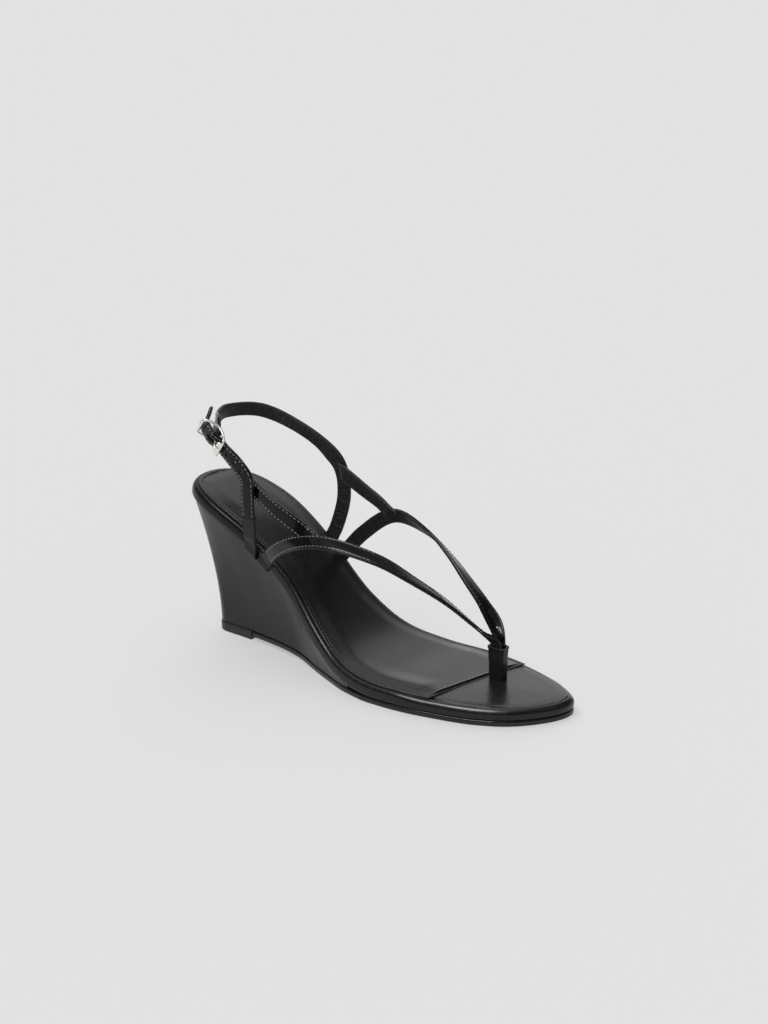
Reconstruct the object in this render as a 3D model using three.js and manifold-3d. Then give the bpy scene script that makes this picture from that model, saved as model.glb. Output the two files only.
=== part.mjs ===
// A wedge sandal for the right foot: a thong with a twisted strap on each side and a buckled sling.
// Millimetres. +X runs to the toe, +Y to the inner side of the foot, +Z up.
// The origin is the centre of the heel tip's face on the ground.
import * as THREE from 'three';
import { mergeVertices } from 'three/addons/utils/BufferGeometryUtils.js';
import Module from 'manifold-3d';

const wasm = await Module();
wasm.setup();

// ---- driving dimensions -------------------------------------------------------------------------
const GAP = 0.3;                  // left between pieces that touch
const LATERAL = -1;               // the outer side of the foot, which carries the buckle
const MEDIAL = 1;

const RIM_HEIGHT = 6;             // wrapped edge of the footbed
const COVER_LEATHER = 0.9;
const BOARD_THICKNESS = 1.9;
const FOAM_THICKNESS = 2.2;
const LINER_INSET = 1.2;          // board and foam lie this far inside the rim
const SOCK_THICKNESS = 1.2;
const SOCK_INSET = 2.6;

const OUTSOLE_THICKNESS = 2.7;
const ARCH_LIFT = 2;              // the outsole leaves the ground behind the ball
const ARCH_FRONT = 74;
const ARCH_BACK = 34;
const OUTSOLE_BACK = 14.6;
const TIP_LENGTH = 27;
const TIP_HEIGHT = 4.7;
const TIP_ROUNDING = 9;
const WEDGE_FRONT = 97;
const WEDGE_INSET = 0.8;          // the wedge's top edge lies this far inside the rim
const WEDGE_COVER = 0.9;
const WEDGE_FLARE = 1.6;          // power of the hollow curve down the back and sides

const SHANK_WIDTH = 12;
const SHANK_THICKNESS = 1.2;
const SHANK_START = 52;           // places on the footbed are measured along its curve from the heel
const SHANK_END = 122;
const RIVET_RADIUS = 1.5;
const SCREW_RADIUS = 1.5;
const SCREW_LENGTH = 14;
const PIN_RADIUS = 1.5;

const STRAP_WIDTH = 7.6;
const STRAP_LAYER = 0.8;          // patent outside, lining inside, with a glue line between
const GLUE_LINE = 0.3;
const TAB_THICKNESS = 1.6;
const FLANGE_THICKNESS = 1;
const FLANGE_REACH = 8;

const POST = { x: 156, y: 6, width: 9, depth: 6.2, wall: 0.8, top: 26.5 };
const POST_STRAP_WIDTH = 6.2;     // the front straps narrow to this inside the post
const STEM_LENGTH = 5.6;
const STEM_DEPTH = 3.2;
const ANCHOR_RADIUS = 6;
const ANCHOR_THICKNESS = 1;

const FRAME_HALF_LENGTH = 8;      // buckle frame, along the strap
const FRAME_HALF_WIDTH = 5.4;     // to the middle of its side rails
const FRAME_WIRE = 1.3;
const FRAME_PLATE = 3;            // the end that the prong rests on is wider
const FRAME_BOW_FRONT = 3.6;      // how far the two ends stand above the bar
const FRAME_BOW_BACK = 4.9;
const BAR_RADIUS = 0.7;
const PRONG_RADIUS = 0.55;
const PRONG_SLOT = 0.95;
const HOLE_RADIUS = 0.9;
const HOLE_SPACING = 6;
const HINGE_CLEARANCE = 0.4;
const HINGE_SHOULDER = 3;         // a leg's corners stop this far below the hinge

// ---- geometry helpers ---------------------------------------------------------------------------
const vec = (x, y, z) => new THREE.Vector3(x, y, z);

// A closed body through rings of matching points; a closed loft returns to its first ring.
function loft(rings, closed = false) {
  const count = rings[0].length;
  const index = [];
  const last = closed ? rings.length : rings.length - 1;
  for (let r = 0; r < last; r++) {
    const here = r * count;
    const next = ((r + 1) % rings.length) * count;
    for (let i = 0; i < count; i++) {
      const j = (i + 1) % count;
      if (i < count / 2) index.push(here + i, here + j, next + j, here + i, next + j, next + i);
      else index.push(here + i, here + j, next + i, here + j, next + j, next + i);
    }
  }
  if (!closed) {
    const top = (rings.length - 1) * count;
    for (let i = 0; i < Math.floor(count / 2) - 1; i++) {
      const far = count - 1 - i;
      index.push(i, far, i + 1, i + 1, far, far - 1);
      index.push(top + i, top + i + 1, top + far, top + i + 1, top + far - 1, top + far);
    }
  }
  const geometry = new THREE.BufferGeometry();
  const flat = rings.flat().flatMap((p) => [p.x, p.y, p.z]);
  geometry.setAttribute('position', new THREE.Float32BufferAttribute(flat, 3));
  geometry.setIndex(signedVolume(flat, index) < 0 ? index.reverse() : index);
  return geometry;
}

function signedVolume(flat, index) {
  const at = (i) => vec(flat[3 * i], flat[3 * i + 1], flat[3 * i + 2]);
  let volume = 0;
  for (let i = 0; i < index.length; i += 3) {
    volume += at(index[i]).dot(at(index[i + 1]).cross(at(index[i + 2])));
  }
  return volume;
}

function toSolid(geometry) {
  const bare = geometry.clone();
  bare.deleteAttribute('normal');
  bare.deleteAttribute('uv');
  const merged = mergeVertices(bare, 1e-4);
  const vertProperties = new Float32Array(merged.attributes.position.array);
  const triVerts = new Uint32Array(merged.index.array);
  return new wasm.Manifold(new wasm.Mesh({ numProp: 3, vertProperties, triVerts }));
}

function fromSolid(solid) {
  const mesh = solid.getMesh();
  const geometry = new THREE.BufferGeometry();
  geometry.setAttribute('position', new THREE.BufferAttribute(mesh.vertProperties, 3));
  geometry.setIndex(new THREE.BufferAttribute(mesh.triVerts, 1));
  return geometry;
}

const cut = (geometry, ...tools) =>
  fromSolid(tools.reduce((whole, tool) => whole.subtract(toSolid(tool)), toSolid(geometry)));
const join = (...pieces) => fromSolid(pieces.map(toSolid).reduce((a, b) => a.add(b)));

// A rod from one point to another.
function rod(from, to, radius, sides = 16) {
  const axis = to.clone().sub(from);
  const geometry = new THREE.CylinderGeometry(radius, radius, axis.length(), sides);
  const turn = new THREE.Quaternion().setFromUnitVectors(vec(0, 1, 0), axis.clone().normalize());
  geometry.applyQuaternion(turn);
  const middle = from.clone().add(to).multiplyScalar(0.5);
  return geometry.translate(middle.x, middle.y, middle.z);
}

function box(x0, x1, y0, y1, z0, z1) {
  const geometry = new THREE.BoxGeometry(x1 - x0, y1 - y0, z1 - z0);
  return geometry.translate((x0 + x1) / 2, (y0 + y1) / 2, (z0 + z1) / 2);
}

const smooth = (x, from, to) => THREE.MathUtils.smoothstep(x, from, to);

// ---- the footbed's curve and outline ------------------------------------------------------------
// Underside of the rim seen from the side, heel to toe.
const profile = new THREE.SplineCurve([
  [-29, 73.6], [-7, 67.7], [16, 58], [39, 42.6], [61, 22.6],
  [83, 8.8], [106, 3.7], [131, 3], [161, 3], [197, 3],
].map(([x, z]) => new THREE.Vector2(x, z)));
profile.arcLengthDivisions = 600;
const PROFILE_LENGTH = profile.getLength();

// Outline of the footbed laid flat: distance from the heel, and the edge on each side.
const OUTLINE = [
  [0, 0], [4, -13.6], [14, -21], [32, -24.4], [58, -24], [88, -24.4], [118, -31], [148, -39.2],
  [174, -40], [197, -36.2], [218, -29.8], [234, -19.2], [246, 0], [246, 12], [234, 21.6], [218, 28.2],
  [197, 33.6], [174, 35], [148, 32], [118, 25.2], [88, 22.2], [58, 23.8], [32, 24.6], [14, 21], [4, 13.6],
].map(([s, y]) => vec(s, y, 0));
const outlineCurve = new THREE.CatmullRomCurve3(OUTLINE, true, 'centripetal');

// The outline's points, moved inward.
function outlinePoints(inset, divisions = 480) {
  const points = outlineCurve.getPoints(divisions).slice(0, divisions);
  return points.map((p, i) => {
    const before = points[(i + divisions - 1) % divisions];
    const after = points[(i + 1) % divisions];
    const along = after.clone().sub(before).normalize();
    return vec(p.x - along.y * inset, p.y + along.x * inset, 0);
  });
}

// Both edges at a distance from the heel, and the first and last distance that the outline reaches.
function edges(inset) {
  const points = outlinePoints(inset);
  const along = points.map((p) => p.x);
  const heel = along.indexOf(Math.min(...along));
  const toe = along.indexOf(Math.max(...along));
  const lateral = walk(points, heel, toe, 1);
  const medial = walk(points, heel, toe, -1);
  return {
    start: along[heel],
    end: along[toe],
    lateral: (s) => interpolate(lateral, s),
    medial: (s) => interpolate(medial, s),
  };
}

function walk(points, from, to, step) {
  const list = [];
  for (let i = from; i !== to; i = (i + step + points.length) % points.length) list.push(points[i]);
  list.push(points[to]);
  return list;
}

function interpolate(list, s) {
  let i = 1;
  while (i < list.length - 1 && list[i].x < s) i += 1;
  const [a, b] = [list[i - 1], list[i]];
  const share = b.x === a.x ? 0 : THREE.MathUtils.clamp((s - a.x) / (b.x - a.x), 0, 1);
  return a.y + (b.y - a.y) * share;
}

// A point of the bent footbed: distance from the heel, place across, height above the rim's underside.
function bent(s, y, h) {
  const share = THREE.MathUtils.clamp(s / PROFILE_LENGTH, 0, 1);
  const p = profile.getPointAt(share);
  const t = profile.getTangentAt(share);
  const beyond = s - share * PROFILE_LENGTH;
  return vec(p.x + t.x * beyond - t.y * h, y, p.y + t.y * beyond + t.x * h);
}

// Distance along the footbed's curve at a given x.
function distanceAt(x) {
  let low = 0;
  let high = PROFILE_LENGTH + 10;
  for (let i = 0; i < 40; i++) {
    const middle = (low + high) / 2;
    if (bent(middle, 0, 0).x < x) low = middle;
    else high = middle;
  }
  return low;
}

// Stations that crowd towards both ends, where the outline turns.
function stations(start, end, count) {
  return Array.from({ length: count + 1 }, (_, i) => {
    const share = (1 - Math.cos((Math.PI * i) / count)) / 2;
    return start + (end - start) * THREE.MathUtils.clamp(share, 0.0006, 0.9994);
  });
}

// A layer of the footbed: the inset outline between two heights.
function layer(inset, bottom, top, start = -Infinity, end = Infinity, count = 32) {
  const edge = edges(inset);
  const places = stations(Math.max(start, edge.start), Math.min(end, edge.end), count);
  return loft(places.map((s) => [
    bent(s, edge.lateral(s), bottom),
    bent(s, edge.medial(s), bottom),
    bent(s, edge.medial(s), top),
    bent(s, edge.lateral(s), top),
  ]));
}

// A strip of constant width that lies along the footbed's curve.
function strip(start, end, y0, y1, bottom, top, count = 12) {
  return loft(Array.from({ length: count + 1 }, (_, i) => {
    const s = start + ((end - start) * i) / count;
    return [bent(s, y0, bottom), bent(s, y1, bottom), bent(s, y1, top), bent(s, y0, top)];
  }));
}

// ---- sole ---------------------------------------------------------------------------------------
// Half width of the outsole's rear part and of the wedge's foot, from the tip to the ball.
const WAIST = {
  [LATERAL]: [[-13.5, 12], [0, 12.6], [14, 13.4], [28, 15], [43, 17.5], [53, 20], [66, 25.5], [80, 31.5],
    [92, 36.4], [106, 39.8]],
  [MEDIAL]: [[-13.5, 12], [0, 12.6], [14, 13.4], [28, 14.6], [43, 16.4], [53, 18.2], [66, 21.4], [80, 25.6],
    [92, 29.4], [106, 32.6]],
};
const waistLine = (side) => new THREE.SplineCurve(WAIST[side].map(([x, w]) => new THREE.Vector2(x, w)));
const waistPoints = {
  [LATERAL]: waistLine(LATERAL).getPoints(120),
  [MEDIAL]: waistLine(MEDIAL).getPoints(120),
};

function waist(x, side) {
  const width = interpolate(waistPoints[side], x);
  const share = THREE.MathUtils.clamp((x + TIP_LENGTH / 2) / TIP_ROUNDING, 0.004, 1);
  return side * width * Math.sqrt(1 - (1 - share) ** 2);
}

const archLift = (x) => ARCH_LIFT * (1 - smooth(x, ARCH_BACK, ARCH_FRONT));

function outsole() {
  const rim = edges(0);
  const front = WAIST[LATERAL].at(-1)[0];
  const rear = Array.from({ length: 16 }, (_, i) => OUTSOLE_BACK + ((front - OUTSOLE_BACK) * i) / 16);
  const toe = stations(front, bent(rim.end, 0, 0).x, 32).filter((x) => x >= front);
  const side = (x, which) => {
    if (x < front) return waist(x, which);
    return which === LATERAL ? rim.lateral(distanceAt(x)) : rim.medial(distanceAt(x));
  };
  const body = loft([...rear, ...toe].map((x) => {
    const [low, a, b] = [archLift(x), side(x, LATERAL), side(x, MEDIAL)];
    const high = low + OUTSOLE_THICKNESS;
    return [vec(x, a, low), vec(x, b, low), vec(x, b, high), vec(x, a, high)];
  }));
  const seat = OUTSOLE_THICKNESS - ANCHOR_THICKNESS - GAP;
  return cut(body, rod(vec(POST.x, POST.y, seat), vec(POST.x, POST.y, TIP_HEIGHT), ANCHOR_RADIUS + GAP, 24));
}

function heelTip() {
  const places = stations(-TIP_LENGTH / 2, TIP_LENGTH / 2, 20);
  const body = loft(places.map((x) => {
    const [a, b] = [waist(x, LATERAL), waist(x, MEDIAL)];
    return [vec(x, a, 0), vec(x, b, 0), vec(x, b, TIP_HEIGHT), vec(x, a, TIP_HEIGHT)];
  }));
  return cut(body, ...PIN_PLACES.map((x) => rod(vec(x, 0, 1.2), vec(x, 0, 20), PIN_RADIUS + GAP)));
}

const PIN_PLACES = [-5, 6];
const pin = (x) => rod(vec(x, 0, 1.5), vec(x, 0, 14), PIN_RADIUS);

// One horizontal-going ring of the wedge, from its foot (0) to the footbed (1).
function wedgeRing(inset, share, count = 18) {
  const rim = edges(WEDGE_INSET + inset);
  const end = distanceAt(WEDGE_FRONT - inset);
  const back = -TIP_LENGTH / 2 + inset;
  const ring = [LATERAL, MEDIAL].map((side) => Array.from({ length: count + 1 }, (_, i) => {
    const along = Math.max(0.0015, 1 - Math.cos((Math.PI / 2) * (i / count)));
    const s = rim.start + (end - rim.start) * along;
    const top = bent(s, side === LATERAL ? rim.lateral(s) : rim.medial(s), -GAP);
    const x = back + (WEDGE_FRONT - inset - back) * ((top.x - bent(rim.start, 0, 0).x)
      / (bent(end, 0, 0).x - bent(rim.start, 0, 0).x));
    const foot = vec(x, waist(x, side) - side * (inset + 0.4), archLift(x) + OUTSOLE_THICKNESS + GAP);
    const out = share ** WEDGE_FLARE;
    return vec(
      foot.x + (top.x - foot.x) * out,
      foot.y + (top.y - foot.y) * out,
      foot.z + (top.z - foot.z) * share,
    );
  }));
  return [...ring[0].reverse(), ...ring[1]];
}

const WEDGE_RINGS = 6;
const wedgeShares = Array.from({ length: WEDGE_RINGS + 1 }, (_, i) => i / WEDGE_RINGS);

// The leather round the wedge: a band that is open above and below.
function wedgeCover() {
  const outside = wedgeShares.map((v) => wedgeRing(0, v));
  const inside = wedgeShares.map((v) => wedgeRing(WEDGE_COVER, v)).reverse();
  return cut(loft([...outside, ...inside], true), ...flangePockets());
}

function wedgeCore() {
  const body = loft(wedgeShares.map((v) => wedgeRing(WEDGE_COVER + GAP, v)));
  const pins = PIN_PLACES.map((x) => rod(vec(x, 0, 0), vec(x, 0, 14.5), PIN_RADIUS + GAP));
  return cut(body, ...flangePockets(), ...pins, ...SCREW_PLACES.map((p) => screwHole(p)));
}

// ---- footbed ------------------------------------------------------------------------------------
const boardTop = BOARD_THICKNESS;
const foamBottom = boardTop + GAP;
const foamTop = foamBottom + FOAM_THICKNESS;
const coverInside = RIM_HEIGHT - COVER_LEATHER;

const stemHole = () => box(
  POST.x - STEM_LENGTH / 2 - GAP, POST.x + STEM_LENGTH / 2 + GAP,
  POST.y - STEM_DEPTH / 2 - GAP, POST.y + STEM_DEPTH / 2 + GAP, 0, 20,
);

function insoleCover() {
  const outer = layer(0, 0, RIM_HEIGHT);
  const hollow = layer(COVER_LEATHER, -2, coverInside);
  return cut(outer, hollow, stemHole());
}

const SCREW_PLACES = [[26, 0], [42, -8], [42, 8]];
const screwHead = (s, y, grow = 0) => rod(
  bent(s, y, boardTop + GAP - grow), bent(s, y, boardTop + GAP + 1.2 + grow), 3 + grow,
);
const screwHole = ([s, y]) => rod(bent(s, y, -SCREW_LENGTH - 1), bent(s, y, boardTop + 1), SCREW_RADIUS + GAP);
const screw = ([s, y]) => join(
  screwHead(s, y), rod(bent(s, y, -SCREW_LENGTH), bent(s, y, boardTop + 0.8), SCREW_RADIUS),
);

const RIVET_PLACES = [SHANK_START + 7, SHANK_END - 7];
const shankBottom = foamBottom;
const rivet = (s) => rod(bent(s, 0, 0.4), bent(s, 0, shankBottom + SHANK_THICKNESS), RIVET_RADIUS);
const rivetHole = (s) => rod(bent(s, 0, -1), bent(s, 0, foamTop), RIVET_RADIUS + GAP);

const insoleBoard = () => cut(
  layer(LINER_INSET, 0, boardTop), stemHole(), ...SCREW_PLACES.map(screwHole), ...RIVET_PLACES.map(rivetHole),
);

const shank = () => cut(
  strip(SHANK_START, SHANK_END, -SHANK_WIDTH / 2, SHANK_WIDTH / 2, shankBottom, shankBottom + SHANK_THICKNESS),
  ...RIVET_PLACES.map(rivetHole),
);

function footbedFoam() {
  const half = SHANK_WIDTH / 2 + GAP;
  const groove = strip(
    SHANK_START - GAP, SHANK_END + GAP, -half, half, shankBottom - 1, shankBottom + SHANK_THICKNESS + GAP,
  );
  const heads = SCREW_PLACES.map(([s, y]) => screwHead(s, y, GAP));
  return cut(layer(LINER_INSET, foamBottom, foamTop), groove, ...heads, stemHole());
}

// The padded sock lies on the cover and ends at a slanting line behind the post.
const SOCK_FRONT = { lateral: 145, medial: 156 };
function sock() {
  const bottom = RIM_HEIGHT + GAP;
  const body = layer(SOCK_INSET, bottom, bottom + SOCK_THICKNESS);
  const middle = (SOCK_FRONT.lateral + SOCK_FRONT.medial) / 2;
  const slant = Math.atan2(SOCK_FRONT.medial - SOCK_FRONT.lateral, 66);
  const knife = new THREE.BoxGeometry(120, 160, 40);
  knife.translate(60, 0, 0).rotateZ(-slant).translate(middle, 0, 10);
  const [w, d] = [POST.width / 2 + GAP, POST.depth / 2 + GAP];
  return cut(body, knife, box(POST.x - w, POST.x + w, POST.y - d, POST.y + d, 0, 40));
}

// ---- straps -------------------------------------------------------------------------------------
// A route is a list of places with the direction that the outer face looks in at each.
function route(rows) {
  const curve = new THREE.CatmullRomCurve3(rows.map(([x, y, z]) => vec(x, y, z)), false, 'centripetal');
  curve.arcLengthDivisions = 400;
  const faces = new THREE.CatmullRomCurve3(rows.map((row) => vec(row[3], row[4], row[5]).normalize()));
  const marks = rows.map((_, i) => curve.getLengths(400)[Math.round((400 * i) / (rows.length - 1))]);
  return { curve, faces, marks, length: marks.at(-1) };
}

// Place, outward direction and sideways direction at a distance along a route.
function station(path, distance) {
  const share = THREE.MathUtils.clamp(distance / path.length, 0, 1);
  const at = path.curve.getPointAt(share);
  const along = path.curve.getTangentAt(share);
  const raw = path.faces.getPoint(path.curve.getUtoTmapping(share));
  const out = raw.sub(along.clone().multiplyScalar(raw.dot(along))).normalize();
  const across = along.clone().cross(out);
  at.add(along.clone().multiplyScalar(distance - share * path.length));
  return { at, out, across, along };
}

// A flat band along part of a route, between two depths, whose width may change.
function band(path, start, end, inner, outer, halfWidth, step = 4) {
  const count = Math.max(2, Math.ceil((end - start) / step));
  const round = typeof halfWidth === 'function';
  return loft(Array.from({ length: count + 1 }, (_, i) => {
    const d = start + ((end - start) * i) / count;
    const { at, out, across } = station(path, d);
    const half = round ? halfWidth(d) : halfWidth;
    const corner = (side, depth) => at.clone().addScaledVector(across, side * half).addScaledVector(out, depth);
    return [corner(-1, inner), corner(1, inner), corner(1, outer), corner(-1, outer)];
  }));
}

const LAYERS = {
  outer: [GLUE_LINE / 2, GLUE_LINE / 2 + STRAP_LAYER],
  lining: [-GLUE_LINE / 2 - STRAP_LAYER, -GLUE_LINE / 2],
};
const HALF = STRAP_WIDTH / 2;

// Buckle axes: along the strap towards its free end, across it, and out of its face.
const BUCKLE = {
  bar: vec(5, -27.5, 111),
  along: vec(-0.78, 0.12, 0.615).normalize(),
  out: vec(-0.15, -0.98, 0),
};
BUCKLE.out.addScaledVector(BUCKLE.along, -BUCKLE.out.dot(BUCKLE.along)).normalize();
BUCKLE.across = BUCKLE.out.clone().cross(BUCKLE.along).multiplyScalar(-1);
const inBuckle = (along, across, out) => BUCKLE.bar.clone()
  .addScaledVector(BUCKLE.along, along)
  .addScaledVector(BUCKLE.across, across)
  .addScaledVector(BUCKLE.out, out);
const buckleRow = (along, out) => [...inBuckle(along, 0, out).toArray(), ...BUCKLE.out.toArray()];

// The sling turns about the line through the two rear junctions.
const HINGE = { lateral: vec(27.3, -30.6, 94), medial: vec(33.5, 30.2, 91.5) };

const TAIL_OVER_BAR = 3.2;
const LEG_LATERAL = route([
  [24.4, -24.9, 53.8, 0, -1, 0],
  [26.4, -28.2, 70, 0.08, -1, 0],
  [27.6, -30.3, 86, 0.1, -1, 0.05],
  [HINGE.lateral.x, HINGE.lateral.y, HINGE.lateral.z, 0.12, -1, 0.08],
]);
const TAIL = route([
  [HINGE.lateral.x + 1.2, HINGE.lateral.y + 0.4, HINGE.lateral.z - 5, 0.12, -1, 0.08],
  [HINGE.lateral.x, HINGE.lateral.y, HINGE.lateral.z, 0.12, -1, 0.08],
  [21, -30.2, 100, 0.1, -1, 0.1],
  buckleRow(-8.5, 0.8),
  buckleRow(-5, 1),
  buckleRow(0, TAIL_OVER_BAR),
  buckleRow(4, 2.8),
  buckleRow(8.2, 2),
  [-1.4, -26.2, 119.3, -0.8, -0.575, 0.16],
  [-0.6, -24.4, 124.4, -0.8, -0.575, 0.16],
]);
const LOOP_LEAN = 35 * (Math.PI / 180);     // the sling leaves the bar inwards at this angle
const loopAlong = BUCKLE.along.clone().multiplyScalar(Math.cos(LOOP_LEAN))
  .addScaledVector(BUCKLE.out, -Math.sin(LOOP_LEAN));
const loopOut = BUCKLE.along.clone().multiplyScalar(Math.sin(LOOP_LEAN))
  .addScaledVector(BUCKLE.out, Math.cos(LOOP_LEAN));
const LOOP_LENGTH = 6;
const loopEnd = BUCKLE.bar.clone().addScaledVector(loopAlong, LOOP_LENGTH + GAP);
const HEEL_STRAP = route([
  [...loopEnd.toArray(), ...loopOut.toArray()],
  [...loopEnd.clone().addScaledVector(loopAlong, 3).toArray(), ...loopOut.toArray()],
  [-8.2, -12, 113.6, -0.86, -0.5, 0],
  [-14.8, 2.5, 113.1, -0.97, -0.1, 0.2],
  [-6, 18.8, 111.4, -0.75, 0.61, 0.26],
  [15.2, 27.1, 102.9, -0.27, 0.92, 0.28],
  [HINGE.medial.x, HINGE.medial.y, HINGE.medial.z, -0.16, 0.98, 0.1],
  [36, 30.4, 86.5, -0.16, 0.98, 0.05],
]);
const LEG_MEDIAL = route([
  [35.2, 23.8, 47.4, 0, 1, 0],
  [38.5, 27.2, 60, -0.1, 1, 0],
  [40, 29.4, 72, -0.15, 1, 0],
  [38, 30.4, 84, -0.16, 1, 0.05],
  [HINGE.medial.x, HINGE.medial.y, HINGE.medial.z, -0.16, 0.98, 0.1],
]);
const STRAP_FOOT = 19.5;                    // the front straps end inside the post
const FRONT_LATERAL = route([
  [32.2, -24.9, 48.6, 0, -1, 0],
  [49.5, -31, 63, -0.1, -0.97, 0.32],
  [75.5, -33, 72.2, 0, -0.6, 0.8],
  [106.5, -25, 67.6, 0.39, -0.17, 0.91],
  [121.5, -17.5, 58.9, 0.46, 0.19, 0.87],
  [135, -8.5, 48.2, 0.42, 0.42, 0.8],
  [150, 1.4, 33, 0.28, 0.62, 0.73],
  [155.4, 4.6, 28.5, 0.03, 0.96, 0.29],
  [156, 4.8, 24, 0, 1, 0],
  [156, 4.8, STRAP_FOOT, 0, 1, 0],
]);
const FRONT_MEDIAL = route([
  [42.6, 23.7, 41.6, 0, 1, 0],
  [54.5, 27.3, 56.1, 0, 1, 0.1],
  [74, 28, 69.3, 0, 0.97, 0.22],
  [99.5, 24, 66.4, 0.31, 0.68, 0.66],
  [115.5, 20.2, 59.2, 0.49, 0.49, 0.72],
  [129.5, 16, 51, 0.56, 0.25, 0.79],
  [142, 12.6, 42.8, 0.6, 0.01, 0.8],
  [152.3, 9.4, 34, 0.4, -0.65, 0.6],
  [156, 7.1, 28.5, 0.05, -0.99, 0.1],
  [156, 7.1, 24, 0, -1, 0],
  [156, 7.1, STRAP_FOOT, 0, -1, 0],
]);
const BRIDGE_LATERAL = route([
  [25.9, -27.6, 90.5, 0.05, -1, 0],
  [31.4, -27.6, 87.6, 0.02, -1, 0],
  [43, -28.9, 82.2, 0, -1, 0.1],
  [52, -28.5, 77.7, 0.03, -0.95, 0.3],
  [61.7, -26.6, 72, 0, -0.78, 0.62],
  [67.7, -29.1, 71.1, 0, -0.7, 0.71],
  [73, -30.7, 70.6, 0, -0.63, 0.77],
]);
const BRIDGE_MEDIAL = route([
  [36.5, 27.8, 86.2, -0.16, 1, 0.05],
  [41, 27.8, 84.7, -0.12, 1, 0.03],
  [47.2, 27.4, 82.2, -0.05, 1, 0],
  [56.3, 26.8, 78.5, 0, 1, 0.1],
  [66, 25.4, 75.4, 0, 1, 0.2],
  [72.5, 24.3, 72.4, 0, 1, 0.22],
  [78, 23.8, 69.4, 0, 1, 0.22],
]);

// ---- tabs that hold the straps under the rim ----------------------------------------------------
// Where each tab leaves the rim, and how far up its strap it reaches.
const TABS = {
  leg_lateral: { path: LEG_LATERAL, side: LATERAL, reach: 20 },
  front_lateral: { path: FRONT_LATERAL, side: LATERAL, reach: 9 },
  leg_medial: { path: LEG_MEDIAL, side: MEDIAL, reach: 10 },
  front_medial: { path: FRONT_MEDIAL, side: MEDIAL, reach: 8 },
};

const EDGE = edges(0);
function flange(tab, grow = 0) {
  const start = station(tab.path, 0).at;
  const s = distanceAt(start.x);
  const rim = tab.side === LATERAL ? EDGE.lateral(s) : EDGE.medial(s);
  const half = HALF - 0.8 + grow;
  const outside = rim + tab.side * (GAP + TAB_THICKNESS + grow);
  const inside = rim - tab.side * (FLANGE_REACH + grow);
  const bottom = -GAP - FLANGE_THICKNESS - grow;
  const [low, high] = [Math.min(outside, inside), Math.max(outside, inside)];
  return strip(s - half, s + half, low, high, bottom, -GAP + grow, 2);
}

const flangePockets = () => Object.values(TABS).map((tab) => flange(tab, GAP));

// Room for the rear tab and its strap, which stand close behind the front ones.
function besideLeg(side) {
  const path = side === LATERAL ? LEG_LATERAL : LEG_MEDIAL;
  return band(path, -8, 24, -3, 3, HALF + GAP);
}

function tab(name) {
  const piece = TABS[name];
  const wall = band(piece.path, -4, piece.reach, -TAB_THICKNESS / 2, TAB_THICKNESS / 2, HALF);
  const room = name.startsWith('front') ? [besideLeg(piece.side)] : [];
  const rimBody = layer(-GAP, -GAP, RIM_HEIGHT + 2);
  const start = distanceAt(station(piece.path, 0).at.x);
  const below = strip(start - 20, start + 20, -60, 60, -30, -GAP - FLANGE_THICKNESS, 8);
  return cut(join(wall, flange(piece)), rimBody, below, ...room);
}

// ---- strap pieces -------------------------------------------------------------------------------
const hingeAxis = HINGE.medial.clone().sub(HINGE.lateral).normalize();
function hingeRound(point) {
  const half = hingeAxis.clone().multiplyScalar(10);
  return rod(point.clone().sub(half), point.clone().add(half), HALF + HINGE_CLEARANCE, 32);
}

// Distance along a route at which it passes closest to a point.
function nearest(path, point) {
  let best = 0;
  for (let d = 0; d <= path.length; d += 0.1) {
    const here = station(path, d).at.distanceTo(point);
    if (here < station(path, best).at.distanceTo(point)) best = d;
  }
  return best;
}

// Round the ends of a strap that turns about the hinge, or of a free end.
const rounded = (centre, before) => (d) => {
  const past = before ? centre - d : d - centre;
  return past <= 0 ? HALF : Math.sqrt(Math.max(HALF ** 2 - past ** 2, 0.01));
};

function leg(path, reach, point, [inner, outer]) {
  const end = nearest(path, point);
  return cut(band(path, reach + GAP, end - HINGE_SHOULDER, inner, outer, HALF), hingeRound(point));
}

const bridge = (path, [inner, outer]) => band(path, 0, path.length, inner, outer, HALF);

function frontStrap(path, reach, [inner, outer]) {
  const width = (d) => HALF - (HALF - POST_STRAP_WIDTH / 2) * smooth(d, path.length - 22, path.length - 9);
  return band(path, reach + GAP, path.length, inner, outer, width, 4);
}

function tailStrap([inner, outer]) {
  const pivot = nearest(TAIL, HINGE.lateral);
  const bar = nearest(TAIL, inBuckle(0, 0, TAIL_OVER_BAR));
  const tip = TAIL.length - HALF * 0.8;
  const width = (d) => Math.min(rounded(pivot, true)(d), rounded(tip, false)(d));
  const body = band(TAIL, pivot - HALF + 0.05, tip + HALF * 0.8, inner, outer, width, 1.6);
  const slot = prongSlot();
  const holes = [1, 2, 3].map((n) => {
    const { at, out } = station(TAIL, bar - 6.5 - n * HOLE_SPACING);
    return rod(at.clone().addScaledVector(out, -4), at.clone().addScaledVector(out, 4), HOLE_RADIUS, 8);
  });
  return cut(body, slot, ...holes);
}

// The slot that the prong needs to lift out of the strap.
function prongSlot() {
  const shape = new THREE.Shape();
  shape.absarc(1.6, 0, PRONG_SLOT, -Math.PI / 2, Math.PI / 2);
  shape.absarc(-5, 0, PRONG_SLOT, Math.PI / 2, (3 * Math.PI) / 2);
  const geometry = new THREE.ExtrudeGeometry(shape, { depth: 9, bevelEnabled: false, curveSegments: 4 });
  const basis = new THREE.Matrix4().makeBasis(BUCKLE.along, BUCKLE.out.clone().cross(BUCKLE.along), BUCKLE.out);
  return geometry.translate(0, 0, -1).applyMatrix4(basis.setPosition(BUCKLE.bar));
}

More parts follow.
